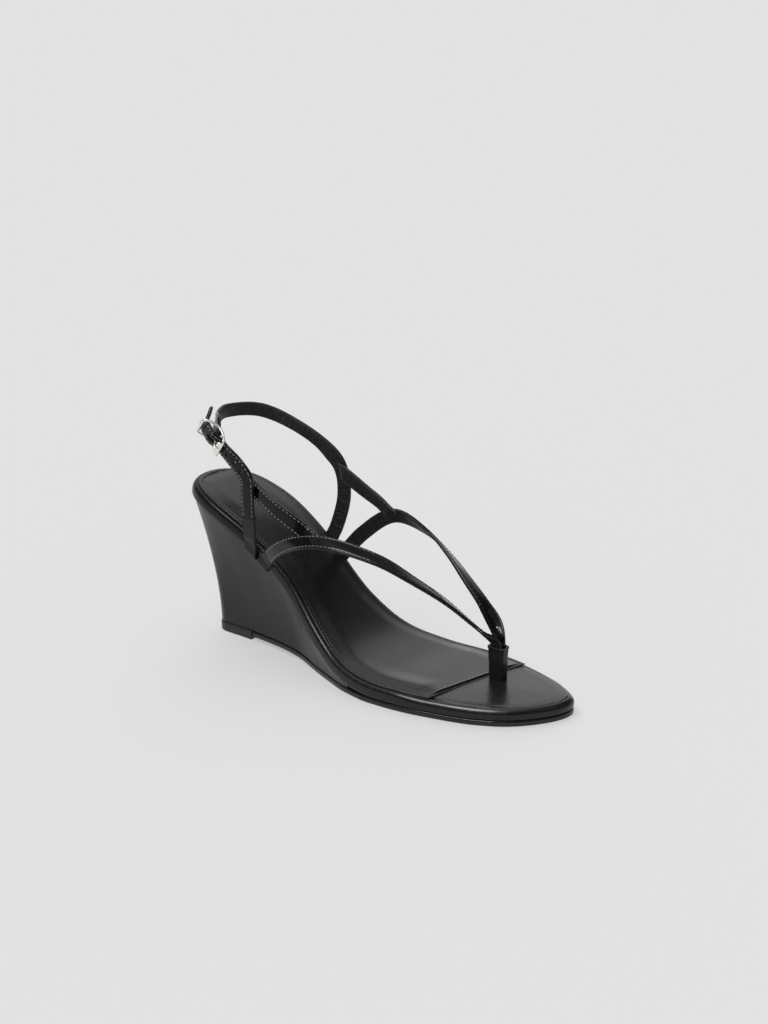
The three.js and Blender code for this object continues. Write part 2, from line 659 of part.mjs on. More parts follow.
function heelStrap([inner, outer]) {
  const pivot = nearest(HEEL_STRAP, HINGE.medial);
  return band(HEEL_STRAP, GAP, pivot + HALF - 0.05, inner, outer, rounded(pivot, false), 3);
}

// The end of the sling, folded round the bar and stitched, with a slot for the prong.
function buckleLoop() {
  const inside = BAR_RADIUS + GAP;
  const outside = inside + STRAP_LAYER;
  const shape = new THREE.Shape();
  const legInside = GLUE_LINE / 2;
  const legOutside = legInside + STRAP_LAYER;
  shape.moveTo(LOOP_LENGTH, legInside);
  shape.lineTo(LOOP_LENGTH, legOutside);
  shape.lineTo(3, legOutside);
  shape.lineTo(Math.sin(0.6) * outside, Math.cos(0.6) * outside);
  shape.absarc(0, 0, outside, Math.PI / 2 - 0.6, -Math.PI / 2 + 0.6 + 2 * Math.PI, false);
  shape.lineTo(3, -legOutside);
  shape.lineTo(LOOP_LENGTH, -legOutside);
  shape.lineTo(LOOP_LENGTH, -legInside);
  shape.lineTo(2, -legInside);
  shape.absarc(0, 0, inside, -0.5 + 2 * Math.PI, 0.5, true);
  shape.lineTo(2, legInside);
  const settings = { depth: STRAP_WIDTH, bevelEnabled: false, curveSegments: 8 };
  const geometry = new THREE.ExtrudeGeometry(shape, settings);
  const across = loopAlong.clone().cross(loopOut);
  const basis = new THREE.Matrix4().makeBasis(loopAlong, loopOut, across);
  geometry.translate(0, 0, -HALF).applyMatrix4(basis.clone().setPosition(BUCKLE.bar));
  const notch = box(-6, 2.2, -6, 6, -PRONG_SLOT - 0.15, PRONG_SLOT + 0.15);
  notch.applyMatrix4(basis.clone().setPosition(BUCKLE.bar));
  return cut(geometry, notch);
}

// ---- buckle -------------------------------------------------------------------------------------
const bow = (u) => (u < 0 ? FRAME_BOW_FRONT : FRAME_BOW_BACK) * (u / FRAME_HALF_LENGTH) ** 2;

// A rounded rectangle whose ends stand above the bar, with one wide end.
function buckleFrame() {
  const corner = 1.6;
  const outline = new THREE.Shape();
  const [length, width] = [FRAME_HALF_LENGTH, FRAME_HALF_WIDTH];
  outline.moveTo(length - corner, width);
  for (const u of [4.8, 3.2, 1.6, 0, -1.6, -3.2, -4.8]) outline.lineTo(u, width);
  outline.absarc(-length + corner, width - corner, corner, Math.PI / 2, Math.PI, false);
  outline.absarc(-length + corner, -width + corner, corner, Math.PI, 1.5 * Math.PI, false);
  for (const u of [-4.8, -3.2, -1.6, 0, 1.6, 3.2, 4.8]) outline.lineTo(u, -width);
  outline.absarc(length - corner, -width + corner, corner, -Math.PI / 2, 0, false);
  outline.absarc(length - corner, width - corner, corner, 0, Math.PI / 2, false);
  const points = outline.getPoints(3).slice(0, -1);
  const path = points.filter((p, i) => p.distanceTo(points[(i + 1) % points.length]) > 0.01);
  const rings = path.map((p, i) => {
    const ahead = path[(i + 1) % path.length];
    const behind = path[(i + path.length - 1) % path.length];
    const along = ahead.clone().sub(behind).normalize();
    const inward = new THREE.Vector2(-along.y, along.x);
    const wide = p.x < -length + 0.2 ? FRAME_PLATE - FRAME_WIRE : 0;
    const near = p.clone().addScaledVector(inward, -FRAME_WIRE / 2);
    const far = p.clone().addScaledVector(inward, FRAME_WIRE / 2 + wide);
    const [low, high] = [bow(p.x) - FRAME_WIRE / 2, bow(p.x) + FRAME_WIRE / 2];
    return [inBuckle(near.x, near.y, low), inBuckle(far.x, far.y, low), inBuckle(far.x, far.y, high),
      inBuckle(near.x, near.y, high)];
  });
  return join(loft(rings, true), rod(inBuckle(0, -width, 0), inBuckle(0, width, 0), BAR_RADIUS));
}

// A wire that wraps the bar and lies on the frame's wide end.
function buckleProng() {
  const radius = BAR_RADIUS + GAP + PRONG_RADIUS;
  const wrap = Array.from({ length: 14 }, (_, i) => {
    const angle = (-170 + (260 * i) / 13) * (Math.PI / 180);
    return inBuckle(radius * Math.cos(angle), 0, radius * Math.sin(angle));
  });
  const tip = FRAME_BOW_FRONT + FRAME_WIRE / 2 + GAP + PRONG_RADIUS;
  const arm = [[-1.4, radius + 0.25], [-3.4, 3.1], [-5.6, tip - 0.05], [-FRAME_HALF_LENGTH - 0.2, tip]];
  const path = new THREE.CatmullRomCurve3([...wrap, ...arm.map(([u, w]) => inBuckle(u, 0, w))]);
  const section = new THREE.Shape();
  section.absarc(0, 0, PRONG_RADIUS, 0, 2 * Math.PI);
  return new THREE.ExtrudeGeometry(section, { steps: 28, extrudePath: path, curveSegments: 4 });
}

// ---- toe post -----------------------------------------------------------------------------------
const COVER_TOP = 3 + RIM_HEIGHT + GAP;
function postWrap() {
  const [w, d, wall] = [POST.width / 2, POST.depth / 2, POST.wall];
  const body = box(POST.x - w, POST.x + w, POST.y - d, POST.y + d, COVER_TOP, POST.top);
  return cut(body, box(POST.x - w + wall, POST.x + w - wall, POST.y - d + wall, POST.y + d - wall, 0, 40));
}

const stemTop = STRAP_FOOT - 2 * GAP;
const postStem = () => box(
  POST.x - STEM_LENGTH / 2, POST.x + STEM_LENGTH / 2, POST.y - STEM_DEPTH / 2, POST.y + STEM_DEPTH / 2,
  OUTSOLE_THICKNESS + GAP, stemTop,
);
const postAnchor = () => rod(
  vec(POST.x, POST.y, OUTSOLE_THICKNESS - ANCHOR_THICKNESS), vec(POST.x, POST.y, OUTSOLE_THICKNESS),
  ANCHOR_RADIUS, 24,
);

// ---- assembly -----------------------------------------------------------------------------------
const finish = (color, roughness, metalness = 0) => () =>
  new THREE.MeshStandardMaterial({ color, roughness, metalness });
const nappa = finish(0x242327, 0.42);
const grained = finish(0x2a292c, 0.5);
const patent = finish(0x0c0c0e, 0.12);
const lining = finish(0x1d1c1e, 0.75);
const rubber = finish(0x111113, 0.4);
const board = finish(0x8a6f4c, 0.9);
const foam = finish(0xd8d2c2, 0.95);
const cork = finish(0xb08a5c, 0.9);
const steel = finish(0x9a9da2, 0.35, 1);
const nickel = finish(0xcfc8bd, 0.25, 1);

const group = new THREE.Group();
function add(name, geometry, material) {
  const mesh = new THREE.Mesh(geometry, material());
  mesh.name = name;
  group.add(mesh);
}

add('outsole', outsole(), rubber);
add('heel_tip', heelTip(), rubber);
PIN_PLACES.forEach((x, i) => add(`heel_tip_pin_${i + 1}`, pin(x), steel));
add('wedge_core', wedgeCore(), cork);
add('wedge_cover', wedgeCover(), nappa);
add('insole_board', insoleBoard(), board);
SCREW_PLACES.forEach((place, i) => add(`heel_screw_${i + 1}`, screw(place), steel));
add('shank', shank(), steel);
RIVET_PLACES.forEach((s, i) => add(`shank_rivet_${i + 1}`, rivet(s), steel));
add('footbed_foam', footbedFoam(), foam);
add('insole_cover', insoleCover(), grained);
add('sock', sock(), nappa);
for (const name of Object.keys(TABS)) add(`tab_${name}`, tab(name), lining);
for (const [layerName, depths] of Object.entries(LAYERS)) {
  const material = layerName === 'outer' ? patent : lining;
  const piece = (name, geometry) => add(`${name}_${layerName}`, geometry, material);
  piece('leg_lateral', leg(LEG_LATERAL, TABS.leg_lateral.reach, HINGE.lateral, depths));
  piece('leg_medial', leg(LEG_MEDIAL, TABS.leg_medial.reach, HINGE.medial, depths));
  piece('bridge_lateral', bridge(BRIDGE_LATERAL, depths));
  piece('bridge_medial', bridge(BRIDGE_MEDIAL, depths));
  piece('front_strap_lateral', frontStrap(FRONT_LATERAL, TABS.front_lateral.reach, depths));
  piece('front_strap_medial', frontStrap(FRONT_MEDIAL, TABS.front_medial.reach, depths));
  piece('tail_strap', tailStrap(depths));
  piece('heel_strap', heelStrap(depths));
}
add('buckle_loop', buckleLoop(), lining);
add('buckle_frame', buckleFrame(), nickel);
add('buckle_prong', buckleProng(), nickel);
add('toe_post_wrap', postWrap(), lining);
add('toe_post_stem', postStem(), rubber);
add('toe_post_anchor', postAnchor(), steel);

export default group;
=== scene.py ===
import math

import bpy
import numpy as np
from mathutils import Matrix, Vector


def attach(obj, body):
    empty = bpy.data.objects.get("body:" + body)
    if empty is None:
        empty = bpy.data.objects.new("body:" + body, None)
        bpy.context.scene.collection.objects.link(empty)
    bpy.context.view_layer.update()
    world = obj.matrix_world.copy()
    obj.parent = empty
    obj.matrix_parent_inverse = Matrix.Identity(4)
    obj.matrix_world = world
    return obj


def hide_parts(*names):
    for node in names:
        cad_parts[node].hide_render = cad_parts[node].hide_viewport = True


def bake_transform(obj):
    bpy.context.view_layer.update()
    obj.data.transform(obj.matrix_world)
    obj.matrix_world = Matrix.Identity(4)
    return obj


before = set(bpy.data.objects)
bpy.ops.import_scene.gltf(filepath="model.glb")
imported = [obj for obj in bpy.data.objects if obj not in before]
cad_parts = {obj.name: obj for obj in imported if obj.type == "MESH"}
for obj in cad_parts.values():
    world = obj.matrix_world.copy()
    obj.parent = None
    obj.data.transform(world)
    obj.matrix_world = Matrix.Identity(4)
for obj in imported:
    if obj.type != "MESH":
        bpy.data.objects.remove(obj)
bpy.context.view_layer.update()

# A wedge sandal for the right foot. Numbers below are in millimetres unless a name says otherwise,
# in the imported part's frame: +X to the toe, +Y to the inner side of the foot, +Z up.
MM = 0.001
LATERAL, MEDIAL = -1, 1


def new_object(name, data):
    made = bpy.data.objects.new(name, data)
    bpy.context.scene.collection.objects.link(made)
    return made


def aim(obj, place, back):
    """Puts a camera or a lamp at a place with its back to a direction."""
    obj.location = place
    obj.rotation_mode = "QUATERNION"
    obj.rotation_quaternion = (-Vector(back)).to_track_quat("-Z", "Y")


# ---- camera ----
CAMERA_AT = (0.96070, -1.07826, 0.56230)
CAMERA_BACK = (0.59375, -0.73508, 0.32735)
CAMERA_LENS = 105.4

camera_data = bpy.data.cameras.new("camera")
camera_data.lens = CAMERA_LENS
camera_data.sensor_width = 36
camera_data.sensor_fit = "AUTO"
camera_data.clip_start, camera_data.clip_end = 0.05, 60
camera = new_object("camera", camera_data)
aim(camera, CAMERA_AT, CAMERA_BACK)
bpy.context.scene.camera = camera


# ---- materials ----
class Surface:
    """A material whose colour, roughness and relief come from a few named textures.

    textures maps a name to a kind, a scale and further values. tone is a texture, the two levels of it that
    take the two colours, and those colours. rough is a texture and two roughnesses. Each layer of relief is
    a texture, its depth in metres and its strength.
    """

    def __init__(self, name, textures, tone, rough, relief, **settings):
        self.material = bpy.data.materials.new(name)
        self.material.use_nodes = True
        self.tree = self.material.node_tree
        self.shader = self.tree.nodes["Principled BSDF"]
        self.place = self.tree.nodes.new("ShaderNodeTexCoord")
        made = {key: getattr(self, kind)(*values) for key, (kind, *values) in textures.items()}
        texture, low, high, dark, light = tone
        self.colour(self.ramp(made[texture], low, high), dark, light)
        texture, least, most = rough
        self.link(self.ramp(made[texture], 0.3, 0.7, least, most), self.shader.inputs["Roughness"])
        normal = None
        for texture, depth, strength in relief:
            bump = self.node("ShaderNodeBump", Strength=strength, Distance=depth)
            self.link(made[texture], bump.inputs["Height"])
            if normal is not None:
                self.link(normal, bump.inputs["Normal"])
            normal = bump.outputs["Normal"]
        self.link(normal, self.shader.inputs["Normal"])
        for key, value in settings.items():
            self.shader.inputs[key.replace("_", " ")].default_value = value

    def node(self, kind, **values):
        made = self.tree.nodes.new(kind)
        for key, value in values.items():
            if key in made.inputs:
                made.inputs[key].default_value = value
            else:
                setattr(made, key, value)
        return made

    def link(self, a, b):
        self.tree.links.new(a, b)

    def noise(self, scale, detail, roughness=0.55, stretch=None, source="Object", distortion=0.0):
        made = self.node(
            "ShaderNodeTexNoise", Scale=scale, Detail=detail, Roughness=roughness, Distortion=distortion
        )
        vector = self.place.outputs[source]
        if stretch is not None:
            mapping = self.node("ShaderNodeMapping", Scale=stretch)
            self.link(vector, mapping.inputs["Vector"])
            vector = mapping.outputs["Vector"]
        self.link(vector, made.inputs["Vector"])
        return made.outputs["Fac"]

    def cells(self, scale, feature="F1"):
        made = self.node("ShaderNodeTexVoronoi", Scale=scale, feature=feature)
        self.link(self.place.outputs["Object"], made.inputs["Vector"])
        return made.outputs["Distance"]

    def ramp(self, value, low, high, to_low=0.0, to_high=1.0):
        levels = {"From Min": low, "From Max": high, "To Min": to_low, "To Max": to_high}
        made = self.node("ShaderNodeMapRange", **levels)
        self.link(value, made.inputs["Value"])
        return made.outputs["Result"]

    def colour(self, factor, a, b):
        made = self.node("ShaderNodeMix", data_type="RGBA")
        made.inputs[6].default_value = (*a, 1)
        made.inputs[7].default_value = (*b, 1)
        self.link(factor, made.inputs[0])
        self.link(made.outputs[2], self.shader.inputs["Base Color"])


def surface(*recipe, **settings):
    return Surface(*recipe, **settings).material


def smooth_leather(name, dark, light, rough, depths=(0.000007, 0.00003, 0.0003), ior=1.5):
    """depths are those of its pores, its creases and its broad unevenness, in metres."""
    pore_depth, crease_depth, broad_depth = depths
    return surface(
        name,
        {
            "pores": ("cells", 2300), "fine": ("noise", 1300, 4), "broad": ("noise", 34, 2),
            "creases": ("noise", 150, 4, 0.6, None, "Object", 1.2),
        },
        ("broad", 0.3, 0.7, dark, light), ("creases", rough - 0.03, rough + 0.05),
        [
            ("broad", broad_depth, 0.3), ("creases", crease_depth, 0.5), ("pores", pore_depth, 0.5),
            ("fine", pore_depth, 0.4),
        ],
        IOR=ior, Specular_Tint=(0.97, 0.955, 1.0, 1),
    )


def waxed_thread(name, dark, light):
    return surface(
        name, {"twist": ("noise", 3200, 2, 0.55, (1, 2.5, 1))},
        ("twist", 0.3, 0.7, dark, light), ("twist", 0.22, 0.34), [("twist", 0.00006, 0.5)],
    )


def pressed_board(name, dark, light, scale):
    return surface(
        name, {"grains": ("cells", scale), "fine": ("noise", scale * 2, 4)},
        ("grains", 0.0, 0.8, dark, light), ("fine", 0.8, 0.95),
        [("grains", 0.0003, 0.5), ("fine", 0.0001, 0.4)],
    )


COVER_LEATHER = smooth_leather(
    "wedge_leather", (0.006, 0.0058, 0.0067), (0.0085, 0.0082, 0.0094), 0.3, ior=1.4,
)
TOE_LEATHER = smooth_leather("toe_leather", (0.0095, 0.0092, 0.0108), (0.0135, 0.013, 0.0152), 0.25, ior=1.56)
# Behind the straps the rim is darker and smoother than in front of them; the darker colour is painted shade,
# standing in for the shade on the rim's side at the heel.
RIM_REAR_PAINTED_SHADE = surface(
    "rim_leather_rear_painted_shade", {"pebbles": ("cells", 1150, "SMOOTH_F1"), "creases": ("noise", 420, 4, 0.6)},
    ("creases", 0.35, 0.65, (0.0032, 0.0032, 0.0036), (0.0055, 0.0055, 0.0062)), ("creases", 0.22, 0.32),
    [("pebbles", 0.00004, 0.5), ("creases", 0.00004, 0.5)], IOR=1.3,
)
SOCK_LEATHER = smooth_leather("sock_leather", (0.0055, 0.0053, 0.006), (0.0078, 0.0075, 0.0085), 0.26)
RIM_LEATHER = surface(
    "rim_leather",
    {"pebbles": ("cells", 1150, "SMOOTH_F1"), "creases": ("noise", 520, 5, 0.62), "broad": ("noise", 60, 2)},
    ("creases", 0.35, 0.65, (0.0045, 0.0045, 0.005), (0.0085, 0.0085, 0.0095)), ("creases", 0.2, 0.34),
    [("broad", 0.0002, 0.3), ("pebbles", 0.00011, 0.5), ("creases", 0.00008, 0.5)], IOR=1.42,
)
PATENT = surface(
    "patent_leather", {"ripple": ("noise", 170, 2, 0.4), "swell": ("noise", 55, 1)},
    ("swell", 0.3, 0.7, (0.0022, 0.0022, 0.0024), (0.0036, 0.0036, 0.004)), ("ripple", 0.045, 0.085),
    [("swell", 0.0012, 0.28), ("ripple", 0.0004, 0.28)], IOR=1.34,
)
LINING = surface(
    "strap_lining",
    {
        "wrinkles": ("noise", 1.0, 3, 0.65, (560, 150, 1), "UV", 0.9), "fibre": ("noise", 2600, 4, 0.7),
        "patches": ("noise", 240, 3),
    },
    ("patches", 0.3, 0.72, (0.0035, 0.0035, 0.0038), (0.0085, 0.0085, 0.0092)), ("wrinkles", 0.36, 0.6),
    [("wrinkles", 0.0011, 0.7), ("fibre", 0.00008, 0.4)],
    Sheen_Weight=0.06, Sheen_Roughness=0.45, Sheen_Tint=(0.5, 0.5, 0.52, 1), IOR=1.45,
)
TAB = surface(
    "tab_leather", {"grain": ("cells", 1500), "fine": ("noise", 1200, 4)},
    ("fine", 0.3, 0.7, (0.0085, 0.008, 0.009), (0.0135, 0.0128, 0.0142)), ("fine", 0.42, 0.52),
    [("grain", 0.00003, 0.4), ("fine", 0.00002, 0.4)], IOR=1.38,
)
EDGE = surface(
    "outsole_edge", {"brushed": ("noise", 260, 3, 0.55, (1, 1, 3)), "fine": ("noise", 1500, 2)},
    ("brushed", 0.3, 0.7, (0.004, 0.004, 0.0044), (0.008, 0.008, 0.0088)), ("brushed", 0.13, 0.24),
    [("brushed", 0.00012, 0.3), ("fine", 0.00002, 0.3)],
)
RUBBER = surface(
    "heel_rubber", {"fine": ("noise", 1800, 3), "broad": ("noise", 120, 2)},
    ("broad", 0.3, 0.7, (0.008, 0.008, 0.0085), (0.013, 0.013, 0.0138)), ("fine", 0.38, 0.52),
    [("fine", 0.00004, 0.4)],
)
NICKEL = surface(
    "nickel", {"scratches": ("noise", 900, 3, 0.55, (1, 6, 1)), "tarnish": ("noise", 300, 2)},
    ("tarnish", 0.3, 0.75, (0.94, 0.91, 0.87), (0.84, 0.81, 0.76)), ("scratches", 0.24, 0.36),
    [("scratches", 0.00002, 0.25)], Metallic=1.0,
)
STEEL = surface(
    "steel", {"scratches": ("noise", 700, 3, 0.55, (1, 8, 1))},
    ("scratches", 0.3, 0.7, (0.50, 0.51, 0.53), (0.62, 0.63, 0.65)), ("scratches", 0.28, 0.42),
    [("scratches", 0.00003, 0.3)], Metallic=1.0,
)
# The light grey thread is a painted highlight standing in for the glints on black thread; the dark back
# thread is the thread's own colour.
THREAD_PAINTED_HIGHLIGHT = waxed_thread("thread", (0.16, 0.16, 0.165), (0.34, 0.34, 0.35))
BACK_THREAD = waxed_thread("back_thread", (0.008, 0.008, 0.009), (0.02, 0.02, 0.022))
CORK = pressed_board("cork", (0.34, 0.21, 0.10), (0.50, 0.34, 0.18), 420)
BOARD = pressed_board("fibre_board", (0.20, 0.14, 0.08), (0.30, 0.22, 0.14), 900)
FOAM = pressed_board("foam", (0.55, 0.52, 0.44), (0.70, 0.67, 0.58), 1400)

INNER_MATERIALS = {
    "wedge_core": CORK, "insole_board": BOARD, "footbed_foam": FOAM, "toe_post_stem": RUBBER,
}
for name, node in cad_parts.items():
    node.data.materials.clear()
    node.data.materials.append(INNER_MATERIALS.get(name, STEEL))


# ---- mesh helpers ----
def piece(name, vertices, faces, material, body, slot, stands_for=(), uv=None, sharp_degrees=None):
    """A smooth-shaded mesh object from points in millimetres. It rides on a body unless body is None."""
    mesh = bpy.data.meshes.new(name)
    mesh.from_pydata([tuple(v) for v in np.asarray(vertices, float) * MM], [], faces)
    mesh.validate()
    mesh.update()
    mesh.materials.append(material)
    mesh.shade_smooth()
    if uv is not None:
        layer = mesh.uv_layers.new(name="UVMap")
        index = np.zeros(len(mesh.loops), np.int64)
        mesh.loops.foreach_get("vertex_index", index)
        layer.data.foreach_set("uv", (np.asarray(uv, float)[index] * MM).astype(np.float32).ravel())
    if sharp_degrees is not None:
        mesh.set_sharp_from_angle(angle=math.radians(sharp_degrees))
    made = new_object(name, mesh)
    outward(made)
    if stands_for:
        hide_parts(*stands_for)
    if body is not None:
        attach(made, body)
    return made


def outward(made):
    """Turns the faces out if the mesh is inside out."""
    mesh = made.data
    mesh.calc_loop_triangles()
    points = np.array([v.co for v in mesh.vertices])
    corners = np.array([t.vertices for t in mesh.loop_triangles])
    a, b, c = points[corners[:, 0]], points[corners[:, 1]], points[corners[:, 2]]
    if np.einsum("ij,ij->i", a, np.cross(b, c)).sum() < 0:
        mesh.flip_normals()


def unit(v):
    return v / np.maximum(np.linalg.norm(v, axis=-1, keepdims=True), 1e-12)


def smoothstep(x, low, high):
    t = np.clip((x - low) / (high - low), 0, 1)
    return t * t * (3 - 2 * t)


def hump(x, at, width):
    """1 at a place, falling away smoothly over a width on both sides."""
    return np.exp(-(((x - at) / width) ** 2))


def cubic(a, b, slope_a, slope_b, t):
    """Points between a and b on the cubic that has these slopes there."""
    square = -3 * a + 3 * b - 2 * slope_a - slope_b
    return a + slope_a * t + square * t**2 + (2 * a - 2 * b + slope_a + slope_b) * t**3


def catmull(points, closed=False, per=48):
    """Points along a centripetal Catmull-Rom curve, at even steps of its parameter."""
    p = np.asarray(points, float)
    spans = len(p) if closed else len(p) - 1
    t = (np.arange(per) / per)[:, None]
    out = []
    for i in range(spans):
        p1, p2 = p[i], p[(i + 1) % len(p)]
        before = p[i - 1] if (closed or i > 0) else 2 * p[0] - p[1]
        after = p[(i + 2) % len(p)] if (closed or i + 2 < len(p)) else 2 * p[-1] - p[-2]
        d0, d1, d2 = (max(math.sqrt(np.linalg.norm(q)), 1e-2) for q in (before - p1, p1 - p2, p2 - after))
        m1 = ((p1 - before) / d0 - (p2 - before) / (d0 + d1) + (p2 - p1) / d1) * d1
        m2 = ((p2 - p1) / d1 - (after - p1) / (d1 + d2) + (after - p2) / d2) * d1
        out.append(cubic(p1, p2, m1, m2, t))
    if not closed:
        out.append(p[-1:])
    return np.concatenate(out)


def uniform_spline(points, per=60):
    """Points along a plain Catmull-Rom spline with its end points doubled."""
    p = np.asarray(points, float)
    p = np.concatenate([p[:1], p, p[-1:]])
    t = (np.arange(per) / per)[:, None]
    out = []
    for i in range(1, len(p) - 2):
        out.append(cubic(p[i], p[i + 1], (p[i + 1] - p[i - 1]) / 2, (p[i + 2] - p[i]) / 2, t))
    out.append(p[-2:-1])
    return np.concatenate(out)


def lengths(points):
    return np.concatenate([[0], np.cumsum(np.linalg.norm(np.diff(points, axis=0), axis=1))])


def lookup(at, xs, table):
    return np.stack([np.interp(at, xs, table[:, k]) for k in range(table.shape[1])], -1)


def even(points, count):
    """The same line at count points that are the same distance apart."""
    along = lengths(points)
    return lookup(np.linspace(0, along[-1], count), along, points)


def ring_faces(rings, count, start=0, loop=False):
    """The faces between rings of count points each. loop joins the last ring to the first."""
    faces = []
    for r in range(rings if loop else rings - 1):
        a, b = start + r * count, start + ((r + 1) % rings) * count
        for i in range(count):
            j = (i + 1) % count
            faces.append((a + i, a + j, b + j, b + i))
    return faces


def end_caps(rings, count, start=0):
    """The faces that close the first and the last ring."""
    last = start + (rings - 1) * count
    return [tuple(range(start, start + count))[::-1], tuple(range(last, last + count))]


# ---- the footbed's curve and outline ----
PROFILE = uniform_spline([
    (-29, 73.6), (-7, 67.7), (16, 58), (39, 42.6), (61, 22.6), (83, 8.8), (106, 3.7), (131, 3), (161, 3),
    (197, 3),
])
PROFILE_S = lengths(PROFILE)
PROFILE_T = unit(np.gradient(PROFILE, axis=0))

OUTLINE = catmull([
    (0, 0), (4, -13.6), (14, -21), (32, -24.4), (58, -24), (88, -24.4), (118, -31), (148, -39.2),
    (174, -40), (197, -36.2), (218, -29.8), (234, -19.2), (246, 0), (246, 12), (234, 21.6), (218, 28.2),
    (197, 33.6), (174, 35), (148, 32), (118, 25.2), (88, 22.2), (58, 23.8), (32, 24.6), (14, 21), (4, 13.6),
], closed=True)
OUTLINE_POINTS = 1440
CORNER_SHARE = 0.035             # from heel or toe to a plate's corner, as a share of the loop


def bent(s, y, h):
    """Points of the bent footbed: distance from the heel, place across, height above the rim's underside."""
    s, y, h = np.broadcast_arrays(np.asarray(s, float), np.asarray(y, float), np.asarray(h, float))
    inside = np.clip(s, 0, PROFILE_S[-1])
    p = lookup(inside, PROFILE_S, PROFILE)
    t = unit(lookup(inside, PROFILE_S, PROFILE_T))
    beyond = s - inside
    x = p[..., 0] + t[..., 0] * beyond - t[..., 1] * h
    z = p[..., 1] + t[..., 1] * beyond + t[..., 0] * h
    return np.stack([x, y, z], -1)


def side_of(line, side):
    """One side of a closed outline, from heel to toe."""
    step = 1 if side == LATERAL else -1
    toe = int(np.argmax(line[:, 0]))
    order = [int(np.argmin(line[:, 0]))]
    while order[-1] != toe:
        order.append((order[-1] + step) % len(line))
    return line[order]


SIDE_LINES = {side: side_of(OUTLINE, side) for side in (LATERAL, MEDIAL)}


def edge_y(s, side):
    line = SIDE_LINES[side]
    return np.interp(s, line[:, 0], line[:, 1])


def distance_at(x):
    """Distance along the footbed's curve at a given x."""
    return np.interp(x, PROFILE[:, 0], PROFILE_S)


def outline_normals(loop):
    """Outward normals of a closed loop that runs from the heel along the outer side to the toe."""
    tangent = unit(np.roll(loop, -1, axis=0) - np.roll(loop, 1, axis=0))
    return np.stack([tangent[:, 1], -tangent[:, 0]], -1) * (-1 if loop_area(loop) < 0 else 1)


def loop_area(loop):
    x, y = loop[:, 0], loop[:, 1]
    return 0.5 * np.sum(x * np.roll(y, -1) - np.roll(x, -1) * y)


def inset_loop(inset):
    """The outline at even steps from the heel, moved inwards, and the place of the toe in it."""
    line = even(np.concatenate([OUTLINE, OUTLINE[:1]]), OUTLINE_POINTS + 1)[:-1]
    line = line - outline_normals(line) * inset
    line = np.roll(line, -int(np.argmin(line[:, 0])), axis=0)
    return line, int(np.argmax(line[:, 0]))


class Plate:
    """A flat closed body with a shaped edge: rings that follow its outline, and a grid over each face.

    rear, left, front and right are lines that meet at the corners: rear runs from right to left,
    left from rear to front, front from left to right and right from front to rear.
    """

    def __init__(self, rear, left, front, right):
        self.m, self.n = len(rear) - 1, len(left) - 1
        self.base = np.concatenate([rear[:-1], left[:-1], front[:-1], right[:-1]])
        self.normal = outline_normals(self.base)

    def soften(self, passes):
        for _ in range(passes):
            around = np.roll(self.normal, 1, axis=0) + np.roll(self.normal, -1, axis=0)
            self.normal = unit(self.normal * 2 + around)
        return self

    def ring(self, inset):
        return self.base - self.normal * inset

    def patch(self, ring):
        """A grid that fills a ring, from its four sides."""
        m, n = self.m, self.n
        closed = np.concatenate([ring, ring[:1]])
        rear, left = closed[: m + 1], closed[m : m + n + 1]
        front, right = closed[m + n : 2 * m + n + 1], closed[2 * m + n :]
        u = np.linspace(0, 1, n + 1)[:, None, None]
        v = np.linspace(0, 1, m + 1)[None, :, None]
        # rows run from rear to front, columns from left to right
        left_line, right_line = left[:, None], right[::-1][:, None]
        rear_line, front_line = rear[::-1][None], front[None]
        corners = (1 - u) * ((1 - v) * left[0] + v * right[-1]) + u * ((1 - v) * left[-1] + v * right[0])
        return (1 - v) * left_line + v * right_line + (1 - u) * rear_line + u * front_line - corners

    def build(self, section, place, top=None, shape=None):
        """section lists (inset, height) from the lower face's edge round to the upper face's edge."""
        rings, heights = [], []
        for inset, height in section:
            rings.append(self.ring(inset))
            heights.append(np.full(len(self.base), float(height)))
        count = len(self.base)
        flat = np.concatenate(rings)
        high = np.concatenate(heights)
        faces = ring_faces(len(rings), count)
        rows, columns = self.n + 1, self.m + 1
        for which, ring in ((0, rings[0]), (1, rings[-1])):
            index = np.zeros((rows, columns), int)
            border = self.border(which * (len(rings) - 1) * count)
            inner = self.patch(ring)[1:-1, 1:-1].reshape(-1, 2)
            start = len(flat)
            index[1:-1, 1:-1] = start + np.arange(len(inner)).reshape(rows - 2, columns - 2)
            for (i, j), value in border.items():
                index[i, j] = value
            flat = np.concatenate([flat, inner])
            high = np.concatenate([high, np.full(len(inner), float(section[-which][1]))])
            for i in range(rows - 1):
                for j in range(columns - 1):
                    quad = (index[i, j], index[i + 1, j], index[i + 1, j + 1], index[i, j + 1])
                    faces.append(tuple(int(q) for q in (quad if which == 0 else quad[::-1])))
        if top is not None:
            upper = high >= section[-1][1] - 1e-6
            high[upper] += top(flat[upper, 0], flat[upper, 1])
        if shape is not None:
            high = shape(flat, high)
        return place(flat[:, 0], flat[:, 1], high), faces, flat

    def border(self, base):
        m, n = self.m, self.n
        total = 2 * (m + n)
        found = {}
        for k in range(m + 1):
            found[(0, m - k)] = base + k % total
            found[(n, k)] = base + (m + n + k) % total
        for k in range(n + 1):
            found[(k, 0)] = base + (m + k) % total
            found[(n - k, m)] = base + (2 * m + n + k) % total
        return found


def split_outline(inset, across, along):
    """The footbed's inset outline as the four sides of a plate."""
    line, toe = inset_loop(inset)
    total = len(line)
    reach = int(CORNER_SHARE * total)
    wrap = np.concatenate([line, line])
    rear = wrap[total - reach : total + reach + 1]
    left = wrap[reach : toe - reach + 1]
    front = wrap[toe - reach : toe + reach + 1]
    right = wrap[toe + reach : total - reach + 1]
    return even(rear, across + 1), even(left, along + 1), even(front, across + 1), even(right, along + 1)


